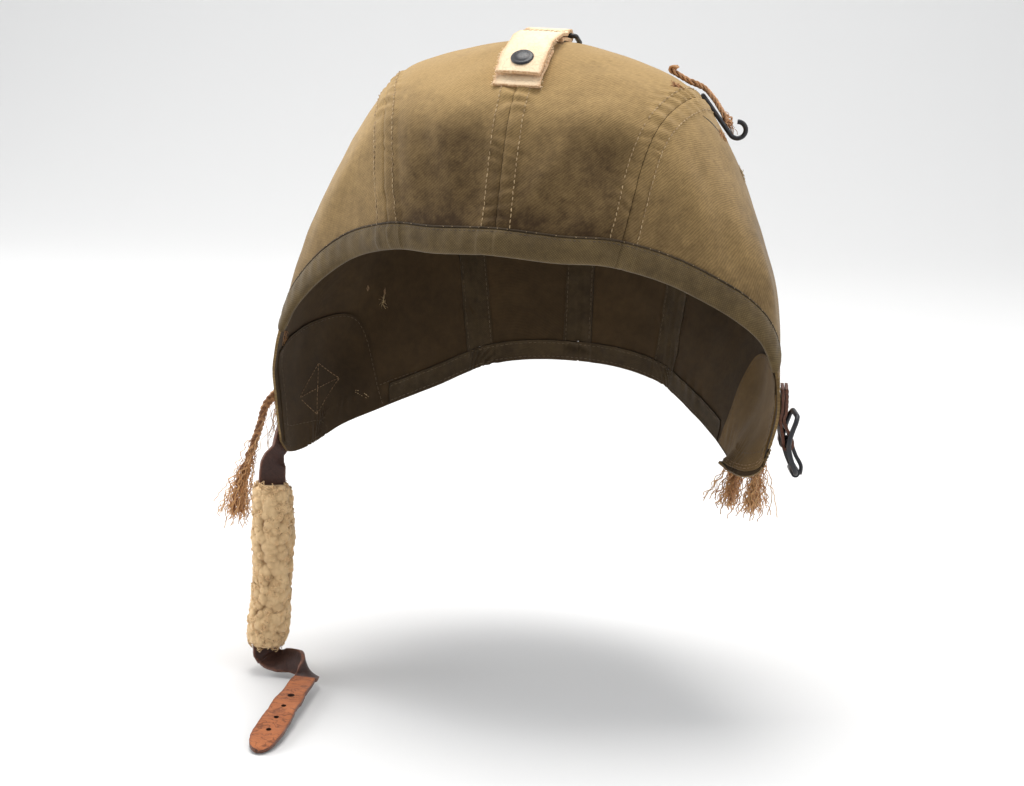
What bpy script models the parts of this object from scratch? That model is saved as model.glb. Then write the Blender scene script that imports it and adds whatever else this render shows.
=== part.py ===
"""Soft cotton flying helmet with ear flaps, crown strap, mask hook and fleece-padded chin strap.

Metres, +Z up. The face opening looks along -Y, and the wearer's left is +X. The origin is on the
inner face of the crown, where the wearer's head (or a display head) carries the helmet.
Run it with: blender --background --python part.py
"""
import math

import bmesh
import bpy
from mathutils import Matrix, Vector

# Driving sizes of the shell
HALF_SPREAD = 0.147      # from the middle to the front edge of an ear flap
REACH = 0.096            # from the seat on the crown forward to the brow, and back to the nape
DROP = 0.242             # from the seat on the crown down to the tips of the ear flaps
CLOTH = 0.0016           # twill panel with its turned allowances
GAP = 0.0003             # clearance between pieces that touch

# Driving sizes of the trim
TAPE_WIDTH = 0.0176       # wide enough for both stitch rows of a seam
TAPE = 0.0009
BINDING_WIDTH = 0.0135   # depth of the bias binding outside
BINDING_INNER_WIDTH = 0.009
BINDING_LEAF = 0.0010
BINDING_LIP = 0.0014     # how far the fold stands past the cloth's edge
HEM_WIDTH = 0.013
FACING_MARGIN = 0.0035
FACING = 0.0011

# Crown strap, its base tab and its snap fastener
CROWN_STRAP_WIDTH = 0.025
CROWN_LEATHER = 0.0020
BASE_TAB_LENGTH = 0.030
CROWN_STRAP_RISE = 0.0062    # height of the strap's middle over the cloth at the snap
SNAP_CAP_DIAMETER = 0.0124
SNAP_CAP_HEIGHT = 0.0021
SNAP_RIM_HEIGHT = 0.0006
SNAP_STEM_DIAMETER = 0.0038
SNAP_SOCKET_DIAMETER = 0.0104
SNAP_SOCKET_HEIGHT = 0.0012
SNAP_POST_DIAMETER = 0.0036
SNAP_FLANGE_DIAMETER = 0.0092
SNAP_FLANGE_HEIGHT = 0.0007

# Wire fittings
RING_WIRE = 0.0026
RING_WIDTH = 0.0325
RING_LENGTH = 0.0150
RING_BAR_CORNER = 0.0017
RING_CORNER = 0.0050
HOOK_WIRE = 0.0027
HOOK_EYE_WIDTH = 0.0110
HOOK_SHANK = 0.0270
HOOK_CURL_RADIUS = 0.0046
HOOK_CURL_TURN = math.radians(235)
HOOK_BRAID_WIDTH = 0.0095
HOOK_BRAID = 0.0026

# Chin strap and its fleece sleeve
STRAP_WIDTH = 0.0160
STRAP_NECK_WIDTH = 0.0100    # rounded off where it bends at the flap's edge
STRAP_LEATHER = 0.0024
ANCHOR_LENGTH = 0.0480
ANCHOR_WIDTH = 0.0190
SLEEVE_LENGTH = 0.0960
SLEEVE_RADIUS = 0.0124
SLEEVE_CLEARANCE = 0.0005
SLEEVE_BOW = 0.0022          # how far the fleece bulges to one side half way down
ANCHOR_RUN_OUT = 0.0120      # from the last stitches straight on to the flap's front edge
HINGE_GAP = 0.00095          # the bend between the sewn and the hanging strap
STRAP_LEAD = 0.0085          # bare strap past its hinge line, first on the way it is sewn
STRAP_DROP = 0.0130          # and then down to the fleece
STRAP_FOOT = 0.0035          # straight strap left under the fleece before its twist
TAIL_FOLD = 0.0009           # the bend between the twist and the tail
TAIL_LENGTH = 0.0880
TAIL_ROOT_WIDTH = 0.0125
TAIL_WIDTH = 0.0165
TAIL_HOLE_DIAMETER = 0.0030
TAIL_FIRST_HOLE_DIAMETER = 0.0042
TAIL_HOLE_PITCH = 0.0135
TAIL_FIRST_HOLE = 0.0270
TAIL_SAG = 0.0020
TWIST_INWARD = 0.0330        # from the fleece's lower end to the fold of the tail: towards the head
TWIST_FORWARD = 0.0200       # and forward
TWIST_DROP = 0.0045          # and down

# Centre-bar buckle
BUCKLE_WIRE = 0.0028
BUCKLE_WIDTH = 0.0230
BUCKLE_HEIGHT = 0.0350
BUCKLE_CORNER = 0.0040
BUCKLE_BOW = 0.0048          # how far both ends stand out past the middle bar
BUCKLE_STAND_OFF = 0.0094    # from the cloth's middle out to the centre bar
BUCKLE_TAB_RISE = 0.0310     # from the centre bar up to the tab's sewn end
ROLLER_WALL = 0.0008
ROLLER_LENGTH = 0.0135
PRONG_WIRE = 0.0022
BUCKLE_TAB_WIDTH = 0.0150
BUCKLE_TAB_LEATHER = 0.0018
PRONG_SLOT_CLEARANCE = 0.0005
BAR_SHARE = 0.96             # the middle bar's thickness as a share of the frame's wire

# Braid ends
BRAID = 0.0026
BRAID_WIDTH = 0.0080
FRAY_WIDTH = 0.0140
RIGHT_BRAID_HANG = 0.0804    # from the last stitches down to the end of the fray
LEFT_FRONT_BRAID_HANG = 0.0404
LEFT_REAR_BRAID_HANG = 0.0375
CUT_OVERRUN = 0.0040

# Counts
CELLS_PER_STATION = 6
CELLS_PER_GUIDE = 6
ROUND_SIDES = 28
WIRE_SIDE_COUNT = 2
ARC_STEPS = 6
SLEEVE_SIDES = 18

# Guide points of the shell, as shares of HALF_SPREAD, REACH and DROP. A row is a station, from the
# middle of the crown (0) over the crown seam (2) and the ear (4) down to the tip of the flap (6).
# In a row the points run from the face edge over the ridge back to the neck hem.
STATION_SHARES = [
    [(0.000, -0.990, -0.426), (0.000, -0.708, -0.116), (0.000, 0.000, 0.000),
     (0.000, 0.917, -0.256), (0.000, 1.000, -0.839)],
    [(0.224, -0.948, -0.434), (0.293, -0.688, -0.128), (0.340, 0.040, -0.037),
     (0.272, 0.875, -0.264), (0.218, 0.958, -0.843)],
    [(0.422, -0.833, -0.442), (0.510, -0.594, -0.165), (0.592, 0.063, -0.116),
     (0.510, 0.771, -0.306), (0.395, 0.854, -0.864)],
    [(0.660, -0.646, -0.496), (0.741, -0.438, -0.322), (0.782, 0.063, -0.314),
     (0.687, 0.646, -0.438), (0.571, 0.604, -0.909)],
    [(0.891, -0.521, -0.620), (0.918, -0.313, -0.521), (0.898, 0.083, -0.529),
     (0.796, 0.458, -0.636), (0.735, 0.271, -0.946)],
    [(1.000, -0.448, -0.777), (0.986, -0.250, -0.752), (0.952, -0.021, -0.760),
     (0.898, 0.146, -0.810), (0.830, 0.063, -0.967)],
    [(0.959, -0.479, -0.967), (0.939, -0.427, -0.996), (0.912, -0.313, -1.000),
     (0.891, -0.208, -0.992), (0.871, -0.104, -0.983)],
]
# The wearer's left flap hangs wider and its corner turns in, so its stations 4 to 6 differ.
LEFT_FLAP_SHARES = [
    [(0.932, -0.479, -0.607), (0.932, -0.292, -0.512), (0.898, 0.083, -0.529),
     (0.796, 0.458, -0.636), (0.728, 0.292, -0.955)],
    [(1.000, -0.396, -0.760), (0.973, -0.208, -0.744), (0.932, 0.000, -0.760),
     (0.878, 0.167, -0.810), (0.776, 0.042, -0.959)],
    [(0.966, -0.396, -0.884), (0.946, -0.417, -0.917), (0.891, -0.406, -0.934),
     (0.830, -0.344, -0.934), (0.776, -0.260, -0.921)],
]
TIP_STATION = len(STATION_SHARES) - 1
SEAM_STATION = 2
HEM_GUIDE = 4

# Where trim lies on the shell, as (station, guide) places; stations are negative on the wearer's right
BINDING_END_SHARE = 0.745    # of the way from the crown's middle down to the flap's tip
FACING_TOP_SHARE = 0.815
FACING_FOOT_SHARE = 0.64
FACING_TIP_SHARE = 0.9933
HEM_END_CLEARANCE_SHARE = 0.02   # of the way, left between the hem tape and the facings
BASE_TAB_FRONT_SHARE = 0.285  # of the way from the brow to the nape
SNAP_SHARE = 0.3375
STRAP_END_SHARE = 0.305
HEEL_SHARE = 0.478
HOOK_BRAID_SHARES = ((0.245, 0.49), (0.385, 0.52))
# Along the hook's braid: how far it has risen over the wire, and narrowed to clear the shank
HOOK_BRAID_RISES = ((0, 0), (0, 0), (0, 0), (0.15, 0), (0.6, 0.5), (1, 1),
                    (1, 1), (1, 1), (1, 1), (1, 1), (1, 1))
HOOK_EYE_RUN = 0.56          # of the braid's length lies before the hook's eye
ANCHOR_SHARES = (-0.915, 0.53)
ANCHOR_BACK_SHARE = 0.35     # of the anchor's length lies behind its place
HINGE_DEPTH_SHARE = 0.17     # of the leather's thickness, from its middle in to the bend
FOLD_HEIGHT_SHARE = 0.4      # of the leather's thickness, from its middle up to the tail's bend
ANCHOR_DIRECTION = (0.0, -1.0, -0.55)
SLEEVE_DIRECTION = (0.02, -0.13, -1.0)
SLEEVE_FLAT_DIRECTION = (0.75, 0.66, 0.0)
SLEEVE_BOW_DIRECTION = (1.0, 0.0, 0.0)
TAIL_DIRECTION = (0.10, -0.99, -0.065)
TAIL_RUN_SHARES = (0.0, 0.1, 0.22, 0.36, 0.5, 0.64, 0.76, 0.84, 0.90, 0.945, 0.975, 0.993, 1.0)
TAIL_ROUND_SHARE = 0.80      # where the tail's rounded end begins
TAIL_TIP_SHARE = 0.12
# The fleece's lumpy outline: shares of its length and of its radius
FLEECE_SHARES = ((0.0, 0.77), (0.025, 0.93), (0.09, 1.02), (0.2, 0.98), (0.32, 1.04), (0.45, 0.97),
                 (0.6, 0.95), (0.72, 0.94), (0.82, 1.02), (0.92, 0.98), (0.975, 0.9), (1.0, 0.77))
# Bare strap over the fleece: shares of STRAP_LEAD and STRAP_DROP, and of the turn into the fleece
LEAD_SHARES = ((0.0, 0.0, 0.0), (0.3, 0.02, 0.15), (0.65, 0.05, 0.4), (0.92, 0.15, 0.75), (1.0, 0.4, 1.0))
# From the fleece to the fold: shares of TWIST_RUN in X, Y and Z, and the way of the strap's width
TWIST_SHARES = ((0.04, 0.0, 0.5, (0.75, 0.66, 0.0)), (0.13, 0.05, 0.85, (0.6, 0.7, 0.3)),
                (0.28, 0.1, 0.85, (0.4, 0.75, 0.5)),
                (0.5, 0.15, 0.6, (0.1, 0.5, 0.85)), (0.74, 0.3, 0.5, (-0.2, 0.2, 0.95)),
                (0.92, 0.54, 0.6, (-0.5, 0.0, 0.85)), (1.0, 0.8, 0.85, (-0.9, 0.0, 0.4)),
                (1.0, 1.0, 1.0, (-0.995, -0.1, 0.0)))
BUCKLE_SHARES = (-0.3256, -0.8391)    # where its centre bar hangs: shares of REACH and of DROP
BUCKLE_OUT = (0.95, 0.30, 0.04)
BUCKLE_TAB_RISE_SHARES = (1, 0.81, 0.61, 0.42)    # where the tab lies on the flap, of its height over the bar

# The loose braid ends: places where each is sewn on its flap, as shares of REACH and of DROP, and
# then its free run out, back and up from the last of these, as shares of its hang
RIGHT_BRAID_SEWN = ((-0.104, -0.7355), (-0.177, -0.7727), (-0.25, -0.8058), (-0.302, -0.8388))
RIGHT_BRAID_FREE = ((0.117, -0.045, -0.155), (0.173, -0.033, -0.316), (0.242, -0.033, -0.528),
                    (0.31, -0.033, -0.739), (0.347, -0.033, -1.0))
LEFT_FRONT_BRAID_SEWN = ((-0.135, -0.7769), (-0.135, -0.814), (-0.135, -0.8512))
LEFT_FRONT_BRAID_FREE = ((-0.007, -0.045, -0.258), (-0.02, -0.045, -0.58), (-0.044, -0.07, -1.0))
LEFT_REAR_BRAID_SEWN = ((0.042, -0.7934), (0.042, -0.8347), (0.031, -0.8719))
LEFT_REAR_BRAID_FREE = ((-0.111, -0.066, -0.279), (-0.178, -0.092, -0.599), (-0.231, -0.119, -1.0))
BRAID_SPREAD_START = 0.5     # of the braid's run, where it begins to open into its fray
BRAID_SPREAD_RUN = 0.35      # of the run, over which it opens

MATERIAL_LOOKS = {
    "khaki_twill": ((0.23, 0.16, 0.085), 0.9, 0.0),
    "olive_bias_tape": ((0.14, 0.115, 0.065), 0.9, 0.0),
    "seam_tape": ((0.19, 0.14, 0.08), 0.9, 0.0),
    "natural_leather": ((0.80, 0.60, 0.40), 0.6, 0.0),
    "dark_leather": ((0.06, 0.025, 0.018), 0.55, 0.0),
    "tan_leather": ((0.42, 0.14, 0.05), 0.7, 0.0),
    "sheepskin": ((0.60, 0.43, 0.24), 1.0, 0.0),
    "braided_cord": ((0.34, 0.14, 0.06), 0.8, 0.0),
    "black_enamel": ((0.02, 0.02, 0.024), 0.35, 0.6),
}


def clear_scene():
    """Remove what the start-up file holds."""
    for item in list(bpy.data.objects):
        bpy.data.objects.remove(item, do_unlink=True)


def make_collection(name):
    """A collection of the scene, new or found."""
    found = bpy.data.collections.get(name)
    if found is None:
        found = bpy.data.collections.new(name)
        bpy.context.scene.collection.children.link(found)
    return found


def make_material(name, finish):
    """A Principled material with a finish of MATERIAL_LOOKS."""
    colour, roughness, metallic = MATERIAL_LOOKS[finish]
    material = bpy.data.materials.new(name + "_finish")
    material.use_nodes = True
    shader = material.node_tree.nodes["Principled BSDF"]
    shader.inputs["Base Color"].default_value = (*colour, 1.0)
    shader.inputs["Roughness"].default_value = roughness
    shader.inputs["Metallic"].default_value = metallic
    return material


def spline(points, at):
    """A point of the smooth curve through the points, at 0 on the first and 1 more on each next."""
    last = len(points) - 1
    index = min(max(int(at), 0), last - 1)
    part = at - index
    here, after = points[index], points[index + 1]
    before = points[index - 1] if index > 0 else 2 * here - after
    beyond = points[index + 2] if index + 2 <= last else 2 * after - here
    return 0.5 * (2 * here + (after - before) * part
                  + (2 * before - 5 * here + 4 * after - beyond) * part ** 2
                  + (3 * here - before - 3 * after + beyond) * part ** 3)


def build_guides():
    """The shell's guide points in metres, from the wearer's right tip over the crown to the left tip."""
    def placed(row, side):
        return [Vector((side * x * HALF_SPREAD, y * REACH, z * DROP + CLOTH / 2)) for x, y, z in row]
    right = [placed(row, -1) for row in reversed(STATION_SHARES[1:])]
    left_rows = STATION_SHARES[:TIP_STATION + 1 - len(LEFT_FLAP_SHARES)] + LEFT_FLAP_SHARES
    return right + [placed(row, 1) for row in left_rows]


GUIDES = build_guides()


def shell_point(station, guide):
    """A point of the cloth's middle surface."""
    across = [spline([row[k] for row in GUIDES], station + TIP_STATION) for k in range(HEM_GUIDE + 1)]
    return spline(across, guide)


def shell_slopes(station, guide):
    """The surface's two slopes: along the stations and along the guides."""
    step = 0.004
    low_s, high_s = max(station - step, -TIP_STATION), min(station + step, TIP_STATION)
    low_g, high_g = max(guide - step, 0), min(guide + step, HEM_GUIDE)
    along_s = (shell_point(high_s, guide) - shell_point(low_s, guide)) / (high_s - low_s)
    along_g = (shell_point(station, high_g) - shell_point(station, low_g)) / (high_g - low_g)
    return along_s, along_g


def shell_normal(station, guide):
    """The direction out of the cloth."""
    along_s, along_g = shell_slopes(station, guide)
    return along_s.cross(along_g).normalized()


def lifted(station, guide, lift):
    """A point at a height over (or, below zero, under) the cloth's middle surface."""
    return shell_point(station, guide) + shell_normal(station, guide) * lift


def guide_at(station, distance, from_hem=False):
    """The guide value at a distance along the cloth from the face edge or the neck hem."""
    steps = 60
    start, sense = (HEM_GUIDE, -1) if from_hem else (0, 1)
    walked, here = 0.0, shell_point(station, start)
    for count in range(1, steps * HEM_GUIDE + 1):
        after = shell_point(station, start + sense * count / steps)
        stride = (after - here).length
        if walked + stride >= distance:
            return start + sense * (count - 1 + (distance - walked) / stride) / steps
        walked, here = walked + stride, after
    return HEM_GUIDE - start


def near_edge(station, distance, lift, from_hem=False):
    """A point at a distance in from an edge of the cloth; a distance below zero stands past the edge."""
    if distance >= 0:
        return lifted(station, guide_at(station, distance, from_hem), lift)
    edge = HEM_GUIDE if from_hem else 0
    outward = shell_slopes(station, edge)[1].normalized() * (1 if from_hem else -1)
    return lifted(station, edge, lift) - outward * distance


def beside(station, guide, offset, lift):
    """A point beside a station's line, at an offset across it and a height over the cloth."""
    along_s = shell_slopes(station, guide)[0].length
    return lifted(station + offset / along_s, guide, lift)


def steps_between(first, last, count):
    """Evenly spaced values with both ends."""
    return [first + (last - first) * k / count for k in range(count + 1)]


def lines_between(first, last, cells):
    """Both ends and every whole grid line between them, where 1 holds so many cells."""
    low, high = min(first, last), max(first, last)
    margin = 0.2 / cells
    first_line = math.ceil((low + margin) * cells)
    last_line = math.floor((high - margin) * cells)
    lines = [k / cells for k in range(first_line, last_line + 1)]
    values = [low] + lines + [high]
    return values if first < last else values[::-1]


def finish(obj, finish_name, collection):
    """Put an object in its collection with its own material."""
    collection.objects.link(obj)
    obj.data.materials.clear()
    obj.data.materials.append(make_material(obj.name, finish_name))
    return obj


def smooth(mesh, angle=math.radians(40)):
    """Shade round faces smooth and keep true edges sharp."""
    mesh.shade_smooth()
    mesh.set_sharp_from_angle(angle=angle)


def mesh_object(name, points, faces):
    """An object from points and faces."""
    mesh = bpy.data.meshes.new(name)
    mesh.from_pydata([tuple(p) for p in points], [], faces)
    mesh.validate()
    return bpy.data.objects.new(name, mesh)


def sheet(name, rows, thickness, finish_name, collection):
    """An open cloth grid given its thickness by Solidify."""
    width = len(rows[0])
    points = [p for row in rows for p in row]
    faces = []
    for i in range(len(rows) - 1):
        for j in range(width - 1):
            corner = i * width + j
            faces.append((corner, corner + width, corner + width + 1, corner + 1))
    obj = mesh_object(name, points, faces)
    smooth(obj.data)
    wall = obj.modifiers.new("thickness", "SOLIDIFY")
    wall.thickness = thickness
    wall.offset = 0
    return finish(obj, finish_name, collection)


def loft(name, rings, finish_name, collection, closed=False):
    """A closed body through rings of as many points each; its ends are capped, or meet."""
    side = len(rings[0])
    points = [p for ring in rings for p in ring]
    faces = []
    spans = len(rings) if closed else len(rings) - 1
    for i in range(spans):
        here, after = i * side, (i + 1) % len(rings) * side
        for j in range(side):
            k = (j + 1) % side
            faces.append((here + j, here + k, after + k, after + j))
    if not closed:
        faces.append(tuple(reversed(range(side))))
        faces.append(tuple(range(len(points) - side, len(points))))
    obj = mesh_object(name, points, faces)
    body = bmesh.new()
    body.from_mesh(obj.data)
    bmesh.ops.recalc_face_normals(body, faces=body.faces)
    body.to_mesh(obj.data)
    body.free()
    smooth(obj.data)
    return finish(obj, finish_name, collection)


def ribbon(name, path, sides, widths, thickness, finish_name, collection):
    """A flat strap along a path; each place has the direction of its width and its own width."""
    rings = []
    for k, centre in enumerate(path):
        ahead = path[min(k + 1, len(path) - 1)] - path[max(k - 1, 0)]
        side = (sides[k] - ahead * (sides[k].dot(ahead) / ahead.length_squared)).normalized()
        face = ahead.cross(side).normalized()
        half_width = side * (widths[k] / 2)
        half_depth = face * (thickness / 2)
        rings.append([centre - half_width - half_depth, centre + half_width - half_depth,
                      centre + half_width + half_depth, centre - half_width + half_depth])
    return loft(name, rings, finish_name, collection)


def wire(name, points, diameter, finish_name, collection, closed=False):
    """A bent wire: a curve with a round bevel, made a mesh with its caps welded."""
    curve = bpy.data.curves.new(name + "_path", "CURVE")
    curve.dimensions = "3D"
    curve.bevel_depth = diameter / 2
    curve.bevel_resolution = WIRE_SIDE_COUNT
    curve.use_fill_caps = True
    line = curve.splines.new("POLY")
    line.points.add(len(points) - 1)
    for slot, point in zip(line.points, points):
        slot.co = (*point, 1.0)
    line.use_cyclic_u = closed
    guide = bpy.data.objects.new(name + "_path", curve)
    bpy.context.scene.collection.objects.link(guide)
    bpy.context.view_layer.update()
    evaluated = guide.evaluated_get(bpy.context.evaluated_depsgraph_get())
    mesh = bpy.data.meshes.new_from_object(evaluated)
    bpy.data.objects.remove(guide, do_unlink=True)
    body = bmesh.new()
    body.from_mesh(mesh)
    bmesh.ops.remove_doubles(body, verts=body.verts, dist=0.00001)
    bmesh.ops.recalc_face_normals(body, faces=body.faces)
    body.to_mesh(mesh)
    body.free()
    mesh.name = name
    smooth(mesh)
    return finish(bpy.data.objects.new(name, mesh), finish_name, collection)


def turned(name, profile, place, finish_name, collection, closed=False):
    """A round piece turned about its local Z from (radius, height) points, then set in its place."""
    rings = []
    for k in range(ROUND_SIDES):
        turn = 2 * math.pi * k / ROUND_SIDES
        rings.append([place @ Vector((r * math.cos(turn), r * math.sin(turn), h)) for r, h in profile])
    if closed:
        return loft(name, rings, finish_name, collection, closed=True)
    points = [p for ring in rings for p in ring[1:-1]]
    inner = len(profile) - 2
    base, top = len(points), len(points) + 1
    points += [place @ Vector((0, 0, profile[0][1])), place @ Vector((0, 0, profile[-1][1]))]
    faces = []
    for i in range(ROUND_SIDES):
        here, after = i * inner, (i + 1) % ROUND_SIDES * inner
        for j in range(inner - 1):
            faces.append((here + j, here + j + 1, after + j + 1, after + j))
        faces.append((base, here, after))
        faces.append((top, after + inner - 1, here + inner - 1))
    obj = mesh_object(name, points, faces)
    body = bmesh.new()
    body.from_mesh(obj.data)
    bmesh.ops.recalc_face_normals(body, faces=body.faces)
    body.to_mesh(obj.data)
    body.free()
    smooth(obj.data)
    return finish(obj, finish_name, collection)


def place_matrix(origin, x_axis, z_axis):
    """A place with its own axes, from its X and Z directions."""
    up = z_axis.normalized()
    side = (x_axis - up * x_axis.dot(up)).normalized()
    forward = up.cross(side)
    matrix = Matrix((side, forward, up)).transposed().to_4x4()
    matrix.translation = origin
    return matrix


def cut_round_holes(obj, places, cutters):
    """Cut round holes; each place is (matrix, diameter, length) and the hole runs along its Z."""
    for k, (matrix, diameter, length) in enumerate(places):
        mesh = bpy.data.meshes.new(f"{obj.name}_hole_{k}")
        body = bmesh.new()
        bmesh.ops.create_cone(body, cap_ends=True, segments=12, radius1=diameter / 2,
                              radius2=diameter / 2, depth=length, matrix=matrix)
        body.to_mesh(mesh)
        body.free()
        cutter = bpy.data.objects.new(mesh.name, mesh)
        cutter.hide_render = True
        cutter.display_type = "WIRE"
        cutters.objects.link(cutter)
        cut = obj.modifiers.new(f"hole_{k}", "BOOLEAN")
        cut.operation = "DIFFERENCE"
        cut.object = cutter


def panel(name, first, last, parts):
    """A cloth panel between two stations, from the face edge to the neck hem."""
    count = round(abs(last - first) * CELLS_PER_STATION)
    guides = steps_between(0, HEM_GUIDE, HEM_GUIDE * CELLS_PER_GUIDE)

    def inset(station, guide):
        if abs(station) == TIP_STATION:
            return shell_point(station, guide)
        middle = (first + last) / 2
        if station in (first, last):
            along = shell_slopes(station, guide)[0].length
            station += math.copysign(GAP / 2 / along, middle - station)
        return shell_point(station, guide)
    rows = [[inset(s, g) for g in guides] for s in steps_between(first, last, count)]
    return sheet(name, rows, CLOTH, "khaki_twill", parts)


def seam_tape(name, station, parts):
    """The tape sewn over the inside of a crown seam, from the binding back to the hem tape."""
    depth = -(CLOTH / 2 + GAP + TAPE / 2)
    first = guide_at(station, BINDING_INNER_WIDTH + TAPE)
    last = guide_at(station, HEM_WIDTH + TAPE, from_hem=True)
    rows = []
    for share in (-0.5, 0, 0.5):
        rows.append([beside(station, g, share * TAPE_WIDTH, depth)
                     for g in lines_between(first, last, CELLS_PER_GUIDE)])
    return sheet(name, rows, TAPE, "seam_tape", parts)


def face_binding(parts):
    """The bias binding folded round the face edge: a channel that the cloth's edge stands in."""
    inner = CLOTH / 2 + GAP
    outer = inner + BINDING_LEAF
    lip = BINDING_LIP
    fold = lip - BINDING_LEAF
    profile = [(BINDING_WIDTH, outer), (BINDING_WIDTH / 2, outer), (0, outer), (-lip * 0.7, outer * 0.8),
               (-lip, 0), (-lip * 0.7, -outer * 0.8), (0, -outer), (BINDING_INNER_WIDTH, -outer),
               (BINDING_INNER_WIDTH, -inner), (0, -inner), (-fold, -inner * 0.4), (-fold, inner * 0.4),
               (0, inner), (BINDING_WIDTH / 2, inner), (BINDING_WIDTH, inner)]
    end = BINDING_END_SHARE * TIP_STATION
    rings = [[near_edge(s, d, n) for d, n in profile] for s in lines_between(-end, end, CELLS_PER_STATION)]
    return loft("face_binding", rings, "olive_bias_tape", parts)


def hem_tape(parts):
    """The tape that faces the neck hem inside, from flap to flap."""
    depth = -(CLOTH / 2 + GAP + TAPE / 2)
    end = (FACING_FOOT_SHARE - HEM_END_CLEARANCE_SHARE) * TIP_STATION
    rows = []
    for s in lines_between(-end, end, CELLS_PER_STATION):
        rows.append([near_edge(s, d, depth, from_hem=True) for d in (HEM_WIDTH, HEM_WIDTH / 2, CLOTH / 2)])
    return sheet("neck_hem_tape", rows, TAPE, "seam_tape", parts)


def flap_facing(name, side, parts):
    """The second layer inside an ear flap; its rear edge runs in an arc from the face edge to the hem."""
    depth = -(CLOTH / 2 + GAP + FACING / 2)
    tip = FACING_TIP_SHARE * TIP_STATION
    rows = []
    for share in steps_between(0, 1, 2 * CELLS_PER_STATION):
        row = []
        for g in steps_between(0, HEM_GUIDE, HEM_GUIDE * CELLS_PER_GUIDE):
            run = g / HEM_GUIDE
            top = TIP_STATION * (FACING_TOP_SHARE + (FACING_FOOT_SHARE - FACING_TOP_SHARE) * run ** 3)
            station = side * (top + (tip - top) * share)
            margin = guide_at(station, FACING_MARGIN)
            far = guide_at(station, FACING_MARGIN / 2, from_hem=True)
            row.append(lifted(station, margin + (far - margin) * run, depth))
        rows.append(row)
    if side < 0:
        rows.reverse()
    return sheet(name, rows, FACING, "khaki_twill", parts)


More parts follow.
